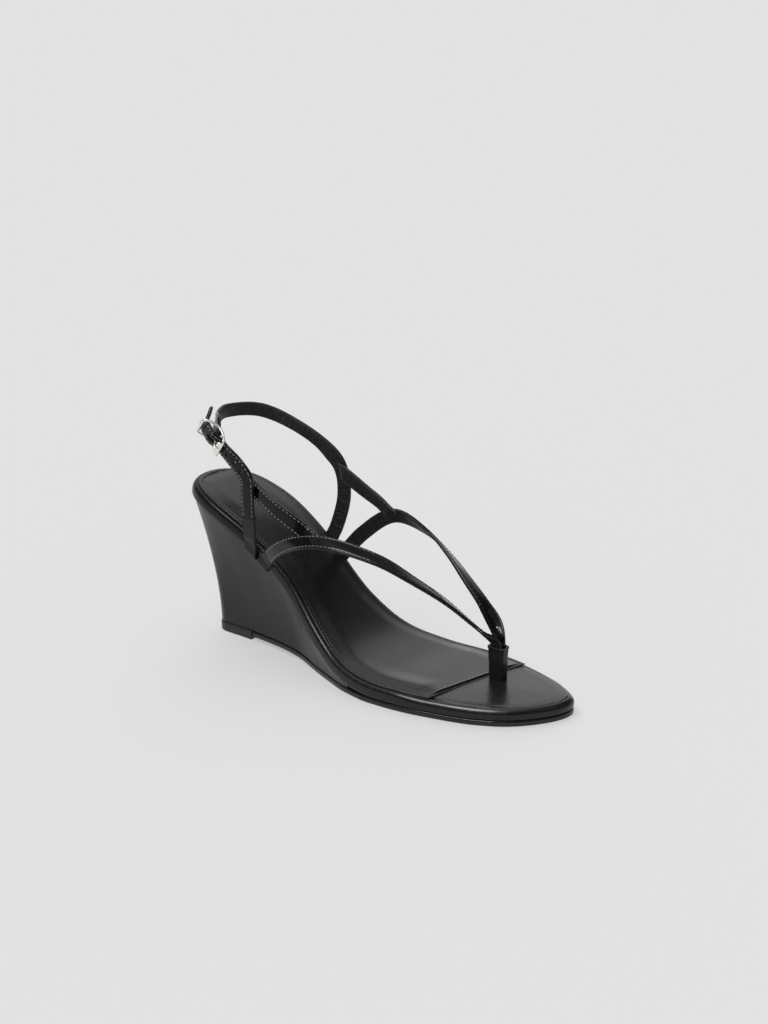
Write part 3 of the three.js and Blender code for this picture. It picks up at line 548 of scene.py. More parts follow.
# ---- footbed rim ----
SOCK_INSET = 2.6
rim_plate = Plate(*split_outline(0, 40, 150)).soften(2)
RIM_SECTION = [
    (2.6, 0.05), (1.3, 0.02), (0.55, 0.10), (0.18, 0.42), (0.02, 1.1), (-0.06, 2.1), (-0.05, 3.2),
    (0.05, 4.1), (0.28, 4.85), (0.66, 5.42), (1.18, 5.8), (1.8, 5.97), (2.3, 5.97), (2.75, 5.93), (3.3, 5.93),
]


OUTLINE_EVEN = even(np.concatenate([OUTLINE, OUTLINE[:1]]), 1201)
TOE_CROWN, TOE_ROUNDING, TOE_DROP = 0.5, 8.5, 2.0
ROLL_START, ROLL_SLANT = 185, 0.17


def from_outline(flat):
    """How far points lie from the footbed's outline."""
    found = np.empty(len(flat))
    for start in range(0, len(flat), 2000):
        part = flat[start : start + 2000]
        found[start : start + 2000] = np.linalg.norm(part[:, None] - OUTLINE_EVEN[None], axis=2).min(1)
    return found


def toe_crown(s, y):
    """The toe's leather swells a little towards its middle."""
    inside = from_outline(np.stack([s, y], -1))
    return TOE_CROWN * smoothstep(s, 168, 200) * smoothstep(inside, 3, 26)


def roll_toe(flat, high):
    """Ahead of the sock the top leather rolls down over the edge."""
    ahead = flat[:, 0] - (ROLL_START + ROLL_SLANT * flat[:, 1])
    share = smoothstep(ahead, -6, 14)
    near = np.clip(1 - from_outline(flat) / TOE_ROUNDING, 0, 1)
    drop = TOE_DROP * (1 - np.sqrt(np.maximum(1 - near**2, 0)))
    return high - share * drop * smoothstep(high, 2.4, 5.9)


points, faces, rim_flat = rim_plate.build(RIM_SECTION, bent, top=toe_crown, shape=roll_toe)
rim = piece("footbed_rim", points, faces, RIM_LEATHER, "sole", "rim_leather", ["insole_cover"])
rim.data.materials.append(TOE_LEATHER)
rim.data.materials.append(RIM_REAR_PAINTED_SHADE)


def assign(obj, flat, index, test):
    """Gives a material to the faces whose corners all pass a test of their flat place."""
    passed = test(flat[:, 0], flat[:, 1])
    for polygon in obj.data.polygons:
        if all(passed[v] for v in polygon.vertices):
            polygon.material_index = index


# ---- padded sock ----
SOCK_FRONT_X = {LATERAL: 145.0, MEDIAL: 156.0}
SOCK_BOTTOM = 6.0
SOCK_WELT = 1.9                  # the flat border outside the sock's padding
SOCK_SWELL, SOCK_CUP, SOCK_RIDGE = 0.85, 0.5, 0.8
RIDGE_START, RIDGE_TOP, RIDGE_END = 0.6, 5.4, 19


def sock_sides(across, along):
    line, toe = inset_loop(SOCK_INSET)
    total = len(line)
    a = int(CORNER_SHARE * total)
    slope = (SOCK_FRONT_X[MEDIAL] - SOCK_FRONT_X[LATERAL]) / 66
    front_s = float(distance_at((SOCK_FRONT_X[LATERAL] + SOCK_FRONT_X[MEDIAL]) / 2))
    ahead = line[:, 0] - (front_s + slope * line[:, 1])
    left_end = int(np.argmax(ahead[:toe] > 0))
    right_start = toe + int(np.argmax(ahead[toe:] < 0))
    wrap = np.concatenate([line, line])
    rear = wrap[total - a : total + a + 1]
    left = wrap[a : left_end + 1]
    right = wrap[right_start : total - a + 1]
    front = np.linspace(left[-1], right[0], across + 1)
    return even(rear, across + 1), even(left, along + 1), front, even(right, along + 1)


sock_plate = Plate(*sock_sides(44, 150)).soften(3)
SOCK_SECTION = [(inset, SOCK_BOTTOM + rise) for inset, rise in (
    (1.2, 0), (0.30, 0), (0.05, 0.10), (0.0, 0.28), (0.07, 0.46), (0.26, 0.58), (0.6, 0.64),
    (1.15, 0.69), (1.38, 0.67), (1.55, 0.62), (1.72, 0.69), (1.95, 0.74),
)]


def sock_crown(s, y):
    """The sock rises inside its edge, and a soft ridge runs along the outer side of the ball."""
    outer, inner = (np.abs(y - edge_y(s, side)) - SOCK_INSET - SOCK_WELT for side in (LATERAL, MEDIAL))
    from_heel = s - SOCK_INSET - SOCK_WELT
    near = np.clip(np.minimum(np.minimum(outer, inner), from_heel), 0, None)
    swell = SOCK_SWELL * smoothstep(near, 0, 9)
    along = smoothstep(s, 128, 168) * (1 - smoothstep(s, 183, 190))
    ridge = smoothstep(outer, RIDGE_START, RIDGE_TOP) - smoothstep(outer, RIDGE_TOP, RIDGE_END)
    ridge = SOCK_RIDGE * ridge
    cup = SOCK_CUP * hump(s, 22, 20) * np.clip(1 - (y / 17) ** 2, 0, 1)
    fade = smoothstep(near, 0, 1.2)
    return swell + ridge * along * fade - cup * fade


points, faces, _ = sock_plate.build(SOCK_SECTION, bent, top=sock_crown)
sock = piece("sock_pad", points, faces, SOCK_LEATHER, "sole", "sock_leather", ["sock"])

TOE_SEAM = 178.0
# The rim's painted shade stops here, hidden under the front tabs.
REAR_SHADE_END = 62.0
TOE_BORDER = 0.55                # the rim's leather shows outside this
TOE_TIP = 245.4


def toe_top(s, y):
    inside = (y - edge_y(s, LATERAL) > TOE_BORDER) & (edge_y(s, MEDIAL) - y > TOE_BORDER)
    return inside & (s > TOE_SEAM) & (s < TOE_TIP)


assign(rim, rim_flat, 1, toe_top)
# Faces behind the front tabs take the rim's darker leather: painted shade on the rim at the heel.
assign(rim, rim_flat, 2, lambda s, y: s < REAR_SHADE_END)


# ---- outsole and heel tip ----
WAIST = {
    LATERAL: [
        (-13.5, 12), (0, 12.6), (14, 13.4), (28, 15), (43, 17.5), (53, 20), (66, 25.5), (80, 31.5),
        (92, 36.4), (106, 39.8),
    ],
    MEDIAL: [
        (-13.5, 12), (0, 12.6), (14, 13.4), (28, 14.6), (43, 16.4), (53, 18.2), (66, 21.4), (80, 25.6),
        (92, 29.4), (106, 32.6),
    ],
}
WAIST_LINES = {side: uniform_spline(rows) for side, rows in WAIST.items()}
TIP_LENGTH, TIP_HEIGHT, TIP_ROUNDING, TIP_CORNER = 27.0, 4.7, 9.0, 7
OUTSOLE_THICKNESS, OUTSOLE_BACK, WAIST_FRONT = 2.7, 14.6, 106.0
ARCH_LIFT = 2.0
GAP = 0.3


def waist(x, side):
    width = np.interp(x, WAIST_LINES[side][:, 0], WAIST_LINES[side][:, 1])
    share = np.clip((x + TIP_LENGTH / 2) / TIP_ROUNDING, 0.0, 1)
    return side * width * np.sqrt(np.maximum(1 - (1 - share) ** 2, 0))


def arch_lift(x):
    """How far the sheet's underside lifts off the floor under the heel."""
    return ARCH_LIFT * (1 - smoothstep(np.asarray(x, float), 34, 74))


def outsole_plate():
    toe_line, _ = inset_loop(0)
    in_plan = np.stack([bent(toe_line[:, 0], 0, 0)[:, 0], toe_line[:, 1]], -1)
    toe, total = int(np.argmax(in_plan[:, 0])), len(in_plan)
    b = int(CORNER_SHARE * total)
    x = np.linspace(OUTSOLE_BACK, WAIST_FRONT, 120)
    sides = {}
    for side in (LATERAL, MEDIAL):
        rear = np.stack([x, waist(x, side)], -1)
        half = in_plan[: toe - b + 1] if side == LATERAL else in_plan[toe + b :][::-1]
        ahead = half[half[:, 0] > WAIST_FRONT + 0.5]
        sides[side] = even(np.concatenate([rear, ahead]), 171)
    left, right = sides[LATERAL], sides[MEDIAL]
    front = even(np.concatenate([left[-1:], in_plan[toe - b + 1 : toe + b], right[-1:]]), 41)
    return Plate(np.linspace(right[0], left[0], 41), left, front, right[::-1]).soften(3)


def lay_flat(x, y, h):
    return np.stack([x, y, h + arch_lift(x)], -1)


OUTSOLE_SECTION = [
    (2.2, 0.0), (1.0, 0.0), (0.42, 0.03), (0.14, 0.22), (0.04, 0.6), (0.02, 1.3), (0.06, 1.95),
    (0.18, 2.4), (0.42, 2.66), (1.0, OUTSOLE_THICKNESS), (2.2, OUTSOLE_THICKNESS),
]
points, faces, _ = outsole_plate().build(OUTSOLE_SECTION, lay_flat)
piece("outsole_sheet", points, faces, EDGE, "sole", "sole_rubber", ["outsole"])


def tip_plate():
    x = -TIP_LENGTH / 2 + TIP_LENGTH * (1 - np.cos(np.linspace(0, math.pi / 2, 90)))
    x = np.concatenate([x[x < TIP_LENGTH / 2], [TIP_LENGTH / 2]])
    left = np.stack([x, waist(x, LATERAL)], -1)
    right = np.stack([x, waist(x, MEDIAL)], -1)
    whole = np.concatenate([right[::-1], left[1:]])
    along = lengths(whole)
    middle = along[len(right) - 1]
    rear = lookup(np.linspace(middle - TIP_CORNER, middle + TIP_CORNER, 25), along, whole)
    sides_left = lookup(np.linspace(middle + TIP_CORNER, along[-1], 49), along, whole)
    sides_right = lookup(np.linspace(0, middle - TIP_CORNER, 49), along, whole)
    front = np.linspace(sides_left[-1], sides_right[0], 25)
    return Plate(rear, sides_left, front, sides_right).soften(2)


TIP_SECTION = [
    (3.0, 0.0), (0.9, 0.0), (0.35, 0.05), (0.10, 0.30), (0.0, 0.9), (-0.05, 2.4), (-0.05, 3.9),
    (0.05, 4.45), (0.4, TIP_HEIGHT), (1.2, TIP_HEIGHT),
]
points, faces, _ = tip_plate().build(TIP_SECTION, lambda x, y, h: np.stack([x, y, h], -1))
piece("heel_top_piece", points, faces, RUBBER, "sole", "sole_rubber", ["heel_tip"])


# ---- wedge cover ----
WEDGE_FRONT, WEDGE_INSET, WEDGE_FOOT_INSET, WEDGE_FLARE, WEDGE_COVER = 97.0, 0.8, 0.4, 1.6, 0.9
COVER_TOP = 0.15
RIM_EDGES = {}


def inset_edges(inset):
    """Both sides of the outline moved inwards, and the x of its heel."""
    key = round(inset, 3)
    if key not in RIM_EDGES:
        line = OUTLINE - outline_normals(OUTLINE) * inset
        RIM_EDGES[key] = {side: side_of(line, side) for side in (LATERAL, MEDIAL)}
        RIM_EDGES[key]["start"] = line[:, 0].min()
    return RIM_EDGES[key]


def wedge_ring(inset, share, count=90):
    rim_line = inset_edges(WEDGE_INSET + inset)
    start = rim_line["start"]
    end = float(distance_at(WEDGE_FRONT - inset))
    back = -TIP_LENGTH / 2 + inset
    first_x, last_x = bent(start, 0, 0)[0], bent(end, 0, 0)[0]
    ring = []
    for side in (LATERAL, MEDIAL):
        along = 1 - np.cos(np.linspace(0, math.pi / 2, count + 1))
        s = start + (end - start) * along
        line = rim_line[side]
        top = bent(s, np.interp(s, line[:, 0], line[:, 1]), COVER_TOP)
        x = back + (WEDGE_FRONT - inset - back) * ((top[:, 0] - first_x) / (last_x - first_x))
        foot_y = waist(x, side) - side * (inset + WEDGE_FOOT_INSET)
        foot = np.stack([x, foot_y, arch_lift(x) + OUTSOLE_THICKNESS + GAP], -1)
        foot[0, 1] = 0
        out = share**WEDGE_FLARE
        mixed = foot + (top - foot) * out
        mixed[:, 2] = foot[:, 2] + (top[:, 2] - foot[:, 2]) * share
        ring.append(mixed)
    return np.concatenate([ring[0][::-1], ring[1][1:]])


def wedge_cover():
    shares = np.concatenate([[0, 0.006], np.linspace(0.02, 0.98, 34), [0.994, 1]])
    edge = np.interp(shares, [0, 0.006, 0.02, 0.98, 0.994, 1], [0.35, 0.1, 0, 0, 0.1, 0.35])
    outside = [wedge_ring(inset, share) for inset, share in zip(edge, shares)]
    inside = [wedge_ring(WEDGE_COVER, share) for share in (1, 0.75, 0.5, 0.25, 0)]
    rings = np.array(outside + inside)
    return rings.reshape(-1, 3), ring_faces(*rings.shape[:2], loop=True)


piece(
    "wedge_leather", *wedge_cover(), COVER_LEATHER, "sole", "cover_leather", ["wedge_cover"],
    sharp_degrees=50,
)


# ---- straps ----
class Route:
    """A line through given places, with the direction that the strap's outer face looks in at each."""

    def __init__(self, rows):
        rows = np.asarray(rows, float)
        self.points = catmull(rows[:, :3])
        self.faces = catmull(unit(rows[:, 3:]))
        self.along = lengths(self.points)
        self.length = self.along[-1]
        self.tangents = unit(np.gradient(self.points, axis=0))

    def at(self, d):
        d = np.asarray(d, float)
        inside = np.clip(d, 0, self.length)
        tangent = unit(lookup(inside, self.along, self.tangents))
        place = lookup(inside, self.along, self.points) + tangent * (d - inside)[..., None]
        raw = lookup(inside, self.along, self.faces)
        out = unit(raw - tangent * np.sum(raw * tangent, -1, keepdims=True))
        return place, tangent, out, np.cross(tangent, out)

    def nearest(self, point):
        return self.along[int(np.argmin(np.linalg.norm(self.points - np.asarray(point), axis=1)))]


BAR = np.array([5, -27.5, 111.0])
B_ALONG = unit(np.array([-0.78, 0.12, 0.615]))
B_OUT = np.array([-0.15, -0.98, 0.0])
B_OUT = unit(B_OUT - B_ALONG * (B_OUT @ B_ALONG))
B_ACROSS = -np.cross(B_OUT, B_ALONG)


def in_buckle(along, across, out):
    along, across, out = np.broadcast_arrays(*(np.asarray(v, float) for v in (along, across, out)))
    return BAR + along[..., None] * B_ALONG + across[..., None] * B_ACROSS + out[..., None] * B_OUT


def buckle_row(along, out):
    return [*in_buckle(along, 0, out), *B_OUT]


HINGE_LATERAL = (27.3, -30.6, 94.0)
HINGE_MEDIAL = (33.5, 30.2, 91.5)
LEAN = math.radians(35)
LOOP_ALONG = B_ALONG * math.cos(LEAN) - B_OUT * math.sin(LEAN)
LOOP_OUT = B_ALONG * math.sin(LEAN) + B_OUT * math.cos(LEAN)
LOOP_LENGTH = 6.0
OVER_BAR = 3.2                   # how far out the sling crosses the buckle's bar
LOOP_END = BAR + LOOP_ALONG * (LOOP_LENGTH + GAP)

LEG_LATERAL_FOOT = [
    [24.4, -24.9, 53.8, 0, -1, 0], [26.4, -28.2, 70, 0.08, -1, 0], [27.6, -30.3, 86, 0.1, -1, 0.05],
]
LEG_MEDIAL_FOOT = [[35.2, 23.8, 47.4, 0, 1, 0], [38.5, 27.2, 60, -0.1, 1, 0], [40, 29.4, 72, -0.15, 1, 0]]
OUTER_SLING = Route([
    *LEG_LATERAL_FOOT, [*HINGE_LATERAL, 0.12, -1, 0.08], [21, -30.2, 100, 0.1, -1, 0.1],
    buckle_row(-8.5, 0.8), buckle_row(-5, 1), buckle_row(0, OVER_BAR), buckle_row(4, 2.8), buckle_row(8.2, 2),
    [-1.4, -26.2, 119.3, -0.8, -0.575, 0.16], [-0.6, -24.4, 124.4, -0.8, -0.575, 0.16],
])
INNER_SLING = Route([
    [*(LOOP_END - LOOP_ALONG * 1.5), *LOOP_OUT], [*(LOOP_END + LOOP_ALONG * 3), *LOOP_OUT],
    [-8.2, -12, 113.6, -0.86, -0.5, 0], [-14.8, 2.5, 113.1, -0.97, -0.1, 0.2],
    [-6, 18.8, 111.4, -0.75, 0.61, 0.26], [15.2, 27.1, 102.9, -0.27, 0.92, 0.28],
    [*HINGE_MEDIAL, -0.16, 0.98, 0.1], [38, 30.4, 84, -0.16, 1, 0.05],
    *LEG_MEDIAL_FOOT[::-1],
])
FRONT_LATERAL = Route([
    [32.2, -24.9, 48.6, 0, -1, 0], [49.5, -31, 63, -0.1, -0.97, 0.32], [75.5, -33, 72.2, 0, -0.6, 0.8],
    [106.5, -25, 67.6, 0.39, -0.17, 0.91], [121.5, -17.5, 58.9, 0.46, 0.19, 0.87],
    [135, -8.5, 48.2, 0.42, 0.42, 0.8], [150, 1.4, 33, 0.28, 0.62, 0.73],
    [155.4, 4.6, 28.5, 0.03, 0.96, 0.29], [156, 4.8, 24, 0, 1, 0],
    [156, 4.8, 19.5, 0, 1, 0],
])
FRONT_MEDIAL = Route([
    [42.6, 23.7, 41.6, 0, 1, 0], [54.5, 27.3, 56.1, 0, 1, 0.1], [74, 28, 69.3, 0, 0.97, 0.22],
    [99.5, 24, 66.4, 0.31, 0.68, 0.66], [115.5, 20.2, 59.2, 0.49, 0.49, 0.72],
    [129.5, 16, 51, 0.56, 0.25, 0.79], [142, 12.6, 42.8, 0.6, 0.01, 0.8], [152.3, 9.4, 34, 0.4, -0.65, 0.6],
    [156, 7.1, 28.5, 0.05, -0.99, 0.1],
    [156, 7.1, 24, 0, -1, 0], [156, 7.1, 19.5, 0, -1, 0],
])
BRIDGE_LATERAL = Route([
    [25.9, -27.6, 90.5, 0.05, -1, 0], [31.4, -27.6, 87.6, 0.02, -1, 0], [43, -28.9, 82.2, 0, -1, 0.1],
    [52, -28.5, 77.7, 0.03, -0.95, 0.3], [61.7, -26.6, 72, 0, -0.78, 0.62],
    [67.7, -29.1, 71.1, 0, -0.7, 0.71], [73, -30.7, 70.6, 0, -0.63, 0.77],
])
BRIDGE_MEDIAL = Route([
    [36.5, 27.8, 86.2, -0.16, 1, 0.05], [41, 27.8, 84.7, -0.12, 1, 0.03], [47.2, 27.4, 82.2, -0.05, 1, 0],
    [56.3, 26.8, 78.5, 0, 1, 0.1], [66, 25.4, 75.4, 0, 1, 0.2], [72.5, 24.3, 72.4, 0, 1, 0.22],
    [78, 23.8, 69.4, 0, 1, 0.22],
])

HALF = 3.8                       # half a strap's width
LAYER = 0.8                      # one of a strap's two layers
SEAM = 0.05                      # half the line between patent and lining
BEVEL = 0.38
EDGE_LAYER = 0.22                # what is left of a layer at the very edge
PILLOW = 0.10                    # how far the patent swells between its stitches
GROOVE_WIDTH = 0.13
GROOVE_DEPTHS = {True: 0.13, False: 0.08}    # on the patent and on the lining
STITCH_INSET = 1.05
STITCH_PITCH = 2.3
STITCH_LENGTH = 1.5
STITCH_RADIUS = 0.2

# Distances in from a strap's edge at which its section changes.
FROM_EDGE = np.array([0, 0.05, 0.16, 0.34, 0.6, 0.8, 0.93, 1.05, 1.17, 1.32, 1.9, 2.6, 3.3])


def columns(half):
    """Places across a strap, close together at its edges and stitch lines."""
    scaled = FROM_EDGE * half / HALF
    left = -half + scaled
    return np.concatenate([left, [0], -left[::-1]])


def rounded(from_edge, reach):
    """A rounded edge: 0 at the edge, 1 from reach inwards."""
    return 1 - np.clip(1 - from_edge / reach, 0, 1) ** 2.4


def layer_profile(q, half, patent):
    """How far the layer's shown face stands off the seam, at places across it."""
    e = half - np.abs(q)
    rounding = rounded(e, BEVEL)
    groove = hump(e, STITCH_INSET, GROOVE_WIDTH) * GROOVE_DEPTHS[patent]
    pillow = PILLOW * np.clip(1 - (q / (half - STITCH_INSET)) ** 2, 0, 1) if patent else 0
    return EDGE_LAYER + (LAYER - EDGE_LAYER) * rounding - groove + pillow


def sheet_solid(middle, normal, upper, lower, keep=None):
    """A closed body from a grid of places: an upper and a lower face and the walls round them."""
    rows, cols = middle.shape[:2]
    top = (middle + normal * upper[..., None]).reshape(-1, 3)
    bottom = (middle + normal * lower[..., None]).reshape(-1, 3)
    count = rows * cols
    keep = np.ones((rows - 1, cols - 1), bool) if keep is None else keep
    faces = []
    for i in range(rows - 1):
        for j in range(cols - 1):
            if not keep[i, j]:
                continue
            a, b = i * cols + j, i * cols + j + 1
            c, d = (i + 1) * cols + j + 1, (i + 1) * cols + j
            faces.append((a, b, c, d))
            faces.append((count + d, count + c, count + b, count + a))
            for p, q, r, t in ((a, b, i - 1, j), (b, c, i, j + 1), (c, d, i + 1, j), (d, a, i, j - 1)):
                outside = r < 0 or t < 0 or r >= rows - 1 or t >= cols - 1
                if outside or not keep[r, t]:
                    faces.append((q, p, count + p, count + q))
    return np.concatenate([top, bottom]), faces


SLANT_REACH = 12.0
END_THINNING, END_REACH = 0.35, 0.4
SKIVED = 0.3                     # the share of a layer's thickness left at a skived end


def strap_grid(path, start, end, width, step=1.0, slants=(0, 0), shift=None):
    """Places on a strap: rows along it, columns across it. slants cut its ends at an angle."""
    rows = max(3, int(math.ceil((end - start) / step)) + 1)
    d = np.linspace(start, end, rows)
    half = width(d)
    q = np.stack([columns(h) for h in half])
    low = (half[:, None] - q) / (2 * half[:, None])
    begin, finish = slants
    held = d[:, None] + begin * low * np.clip(1 - (d[:, None] - start) / SLANT_REACH, 0, 1)
    held = held - finish * low * np.clip(1 - (end - d[:, None]) / SLANT_REACH, 0, 1)
    place, _, normal, across = path.at(held)
    offset = q if shift is None else q + shift(d)[:, None]
    middle = place + across * offset[..., None]
    uv = np.stack([held, q], -1)
    return d, q, half, middle, normal, uv


def rounded_end(d, at):
    """Half the width of a strap with a round end that starts at a distance along it."""
    past = d - at
    return np.where(past <= 0, HALF, np.sqrt(np.maximum(HALF**2 - past**2, 0.09)))


class Strap:
    """Patent outside, lining inside and thread through both."""

    def __init__(
        self, name, path, start, end, width, body, stands_for,
        wrinkle=0.0, slants=(0, 0), skive=0.0, shift=None,
    ):
        self.name, self.path, self.width, self.body = name, path, width, body
        self.parts = []
        d, q, half, middle, normal, uv = strap_grid(path, start, end, width, slants=slants, shift=shift)
        ripple = wrinkle * np.sin(d * 2.1 + 0.7 * np.sin(d * 0.9))[:, None]
        ripple = ripple * np.clip(1 - (q / half[:, None]) ** 2, 0, 1)
        layers = (("patent", 1, PATENT, "outer"), ("lining", -1, LINING, "lining"))
        for layer, sign, material, node_end in layers:
            shown = np.stack([layer_profile(q[i], half[i], sign > 0) for i in range(len(d))])
            ends = np.minimum(d - start, end - d)[:, None]
            shown = shown * (1 - END_THINNING * np.clip(1 - ends / END_REACH, 0, 1))
            if skive:
                shown = shown * (SKIVED + (1 - SKIVED) * smoothstep(ends, 0, skive))
            shown = SEAM + shown + (0 if sign > 0 else 1) * ripple
            inner = np.full_like(shown, SEAM)
            upper, lower = (shown, inner) if sign > 0 else (-inner, -shown)
            points, faces = sheet_solid(middle, normal, upper, lower)
            both = np.concatenate([uv.reshape(-1, 2)] * 2)
            nodes = [f"{node}_{node_end}" for node in stands_for]
            made = piece(f"{name}_{layer}", points, faces, material, body, f"{layer}_leather", nodes, uv=both)
            self.parts.append(made)

    def stitches(self, start, end, dark_from=math.inf):
        """Rows of stitches along both edges. On the patent side the thread is painted light grey, a painted
        highlight for the glints on black thread, up to dark_from; beyond it, and on the lining side, the
        thread is its own dark colour.
        """
        places = start + (np.arange(int((end - start) / STITCH_PITCH)) + 0.5) * STITCH_PITCH
        rows = [(d, side, sign) for sign in (1, -1) for side in (1, -1) for d in places]
        name = f"{self.name}_stitches"
        self.parts.append(stitch_mesh(name, self.path, rows, self.width, self.body, dark_from))


STITCH_RINGS = np.array([(-1, 0.25), (-0.8, 0.8), (-0.3, 1.0), (0.3, 1.0), (0.8, 0.8), (1, 0.25)])
STITCH_SIDES = 6
STITCH_SINK, STITCH_LIFT = 0.14, 0.02


def stitch_mesh(name, path, rows, width, body, dark_from):
    """Short rounded threads that lie in the strap's stitch grooves."""
    vertices, faces, without_painted_highlight = [], [], []
    angle = np.linspace(0, 2 * math.pi, STITCH_SIDES, endpoint=False)
    for d, side, sign in rows:
        half = float(width(np.array([d]))[0])
        spots = d + STITCH_RINGS[:, 0] * STITCH_LENGTH / 2
        place, _, out, across = path.at(spots)
        sink = np.abs(STITCH_RINGS[:, 0]) ** 3 * STITCH_SINK
        height = SEAM + LAYER + sign * STITCH_LIFT - sink
        centre = place + across * (side * (half - STITCH_INSET)) + out * (sign * height)[:, None]
        base = len(vertices)
        for c, (_, girth), a, o in zip(centre, STITCH_RINGS, across, out):
            ring = c + STITCH_RADIUS * girth * (np.cos(angle)[:, None] * a + np.sin(angle)[:, None] * o)
            vertices.extend(ring)
        faces += ring_faces(len(STITCH_RINGS), STITCH_SIDES, base)
        faces += end_caps(len(STITCH_RINGS), STITCH_SIDES, base)
        # Stitches on the lining side, and beyond dark_from, take the dark thread; the others get the painted
        # highlight.
        without_painted_highlight.extend([sign < 0 or d > dark_from] * (len(faces) - len(without_painted_highlight)))
    made = piece(name, vertices, faces, THREAD_PAINTED_HIGHLIGHT, body, "patent_leather")
    made.data.materials.append(BACK_THREAD)
    for polygon, back in zip(made.data.polygons, without_painted_highlight):
        polygon.material_index = int(back)
    return made


POST_HALF = 3.1                  # half a front strap's width in the toe post


def full(d):
    return np.full(np.shape(d), HALF)


def narrows(path):
    return lambda d: HALF - (HALF - POST_HALF) * smoothstep(d, path.length - 22, path.length - 9)


FORK = INNER_SLING.nearest(HINGE_MEDIAL)
WEBBING = 0.6


def webbing(d):
    """The fork's rounded inner corner widens the sling on its rear edge."""
    return WEBBING * hump(d, FORK - 2, 7.5)


# Where the straps start and stop along their routes, short of the tabs, the rim and the buckle's loop.
OUTER_SLING_START, OUTER_FRONT_START, INNER_FRONT_START = 19.6, 8.6, 7.6
INNER_SLING_END = INNER_SLING.length - 9.6
tail_tip = OUTER_SLING.length - HALF * 0.8
outer_sling = Strap(
    "outer_sling", OUTER_SLING, OUTER_SLING_START, tail_tip + HALF * 0.8,
    lambda d: rounded_end(d, tail_tip), None, ["leg_lateral", "tail_strap"],
)
inner_sling = Strap(
    "inner_sling", INNER_SLING, 0, INNER_SLING_END, lambda d: HALF + webbing(d), None,
    ["leg_medial", "heel_strap"], wrinkle=0.05, shift=lambda d: -webbing(d),
)
front_lateral = Strap(
    "outer_front_strap", FRONT_LATERAL, OUTER_FRONT_START, FRONT_LATERAL.length, narrows(FRONT_LATERAL),
    "sole", ["front_strap_lateral"],
)
front_medial = Strap(
    "inner_front_strap", FRONT_MEDIAL, INNER_FRONT_START, FRONT_MEDIAL.length, narrows(FRONT_MEDIAL),
    "sole", ["front_strap_medial"], wrinkle=0.12,
)
bridge_lateral = Strap(
    "outer_bridge", BRIDGE_LATERAL, 0, BRIDGE_LATERAL.length, full, "sole",
    ["bridge_lateral"], slants=(0, 3), skive=3,
)
bridge_medial = Strap(
    "inner_bridge", BRIDGE_MEDIAL, 0, BRIDGE_MEDIAL.length, full, "sole",
    ["bridge_medial"], wrinkle=0.03, slants=(4.5, 4), skive=4,
)

outer_sling.stitches(OUTER_SLING_START + 0.9, tail_tip - 1)
inner_sling.stitches(1, INNER_SLING_END - 0.9)
front_lateral.stitches(OUTER_FRONT_START + 0.9, FRONT_LATERAL.length - 9, FRONT_LATERAL.length / 2)
front_medial.stitches(INNER_FRONT_START + 0.9, FRONT_MEDIAL.length - 9, FRONT_MEDIAL.length / 2)
bridge_lateral.stitches(1, BRIDGE_LATERAL.length - 4)
bridge_medial.stitches(5, BRIDGE_MEDIAL.length - 5)


# ---- tabs that carry the straps to the rim ----
TAB_TOP, TAB_UNDER, TAB_EDGE = 0.85, 0.8, 0.3
TAB_BEVEL, STITCH_LINE = 0.4, 1.15
TAB_FOOT, TAB_STEEP, TAB_REACH = 2.0, 7.5, 16
# The tab's fold round the rim: height, and how far beyond the rim's edge.
TAB_FOLD = [(-0.75, -3.0), (-0.72, -0.6), (-0.1, 0.72), (1.6, 0.95), (4.4, 0.95)]
EDGE_COLUMNS = np.array([-1, -0.985, -0.95, -0.88, -0.78, -0.68, -0.6, -0.5, -0.25, 0])
TAB_COLUMNS = np.concatenate([EDGE_COLUMNS, -EDGE_COLUMNS[-2::-1]])


def tab(name, path, side, reach, node):
    """A folded leather tab: from under the rim, up its side and over the end of the strap."""
    q = TAB_COLUMNS
    up = np.linspace(TAB_STEEP, reach, 9)
    place, _, _, across = path.at(up)
    foot, foot_along, _, foot_across = path.at(TAB_FOOT)
    flat_along = unit(np.array([foot_along[0], foot_along[2]]))
    s = float(distance_at(foot[0])) + np.linspace(-TAB_REACH, TAB_REACH, 321)
    lines = []

    def crossing(column, h):
        """Where the strap's own line, run straight on down, meets the rim's side at a height."""
        start = foot + foot_across * column * HALF
        rim_points = bent(s, edge_y(s, side), h)
        away = np.stack([rim_points[:, 0] - start[0], rim_points[:, 2] - start[2]], -1)
        off = np.abs(away[:, 0] * flat_along[1] - away[:, 1] * flat_along[0])
        return float(s[int(np.argmin(off))])

    for column in q:
        knots = []
        for h, beyond in TAB_FOLD:
            here = crossing(column, max(h, -0.1))
            knots.append(bent(here, float(edge_y(here, side)) + side * beyond, h))
        above = [place[i] + across[i] * column * HALF for i in range(len(up))]
        lines.append(even(catmull([*knots, *above[1:]], per=14), 44))
    middle = np.stack(lines, 1)
    normal = unit(np.cross(np.gradient(middle, axis=0), np.gradient(middle, axis=1)))
    normal *= np.sign(side * normal[-12, len(q) // 2, 1])
    e = (1 - np.abs(q)) * HALF
    rounding = rounded(e, TAB_BEVEL)
    ridge = 0.16 * hump(e, 0.55, 0.28) - 0.12 * hump(e, STITCH_LINE, 0.16)
    thick = TAB_EDGE + (TAB_TOP - TAB_EDGE) * rounding + ridge
    v = np.linspace(0, 1, len(middle))
    lip = 1 + 0.12 * hump(v, 0.965, 0.02) - 0.55 * np.clip((v - 0.985) / 0.015, 0, 1)
    upper = thick[None] * lip[:, None]
    lower = -(TAB_EDGE + (TAB_UNDER - TAB_EDGE) * rounding)[None] * np.ones_like(upper)
    points, faces = sheet_solid(middle, normal, upper, lower)
    return piece(name, points, faces, TAB, "sole", "tab_leather", [node])


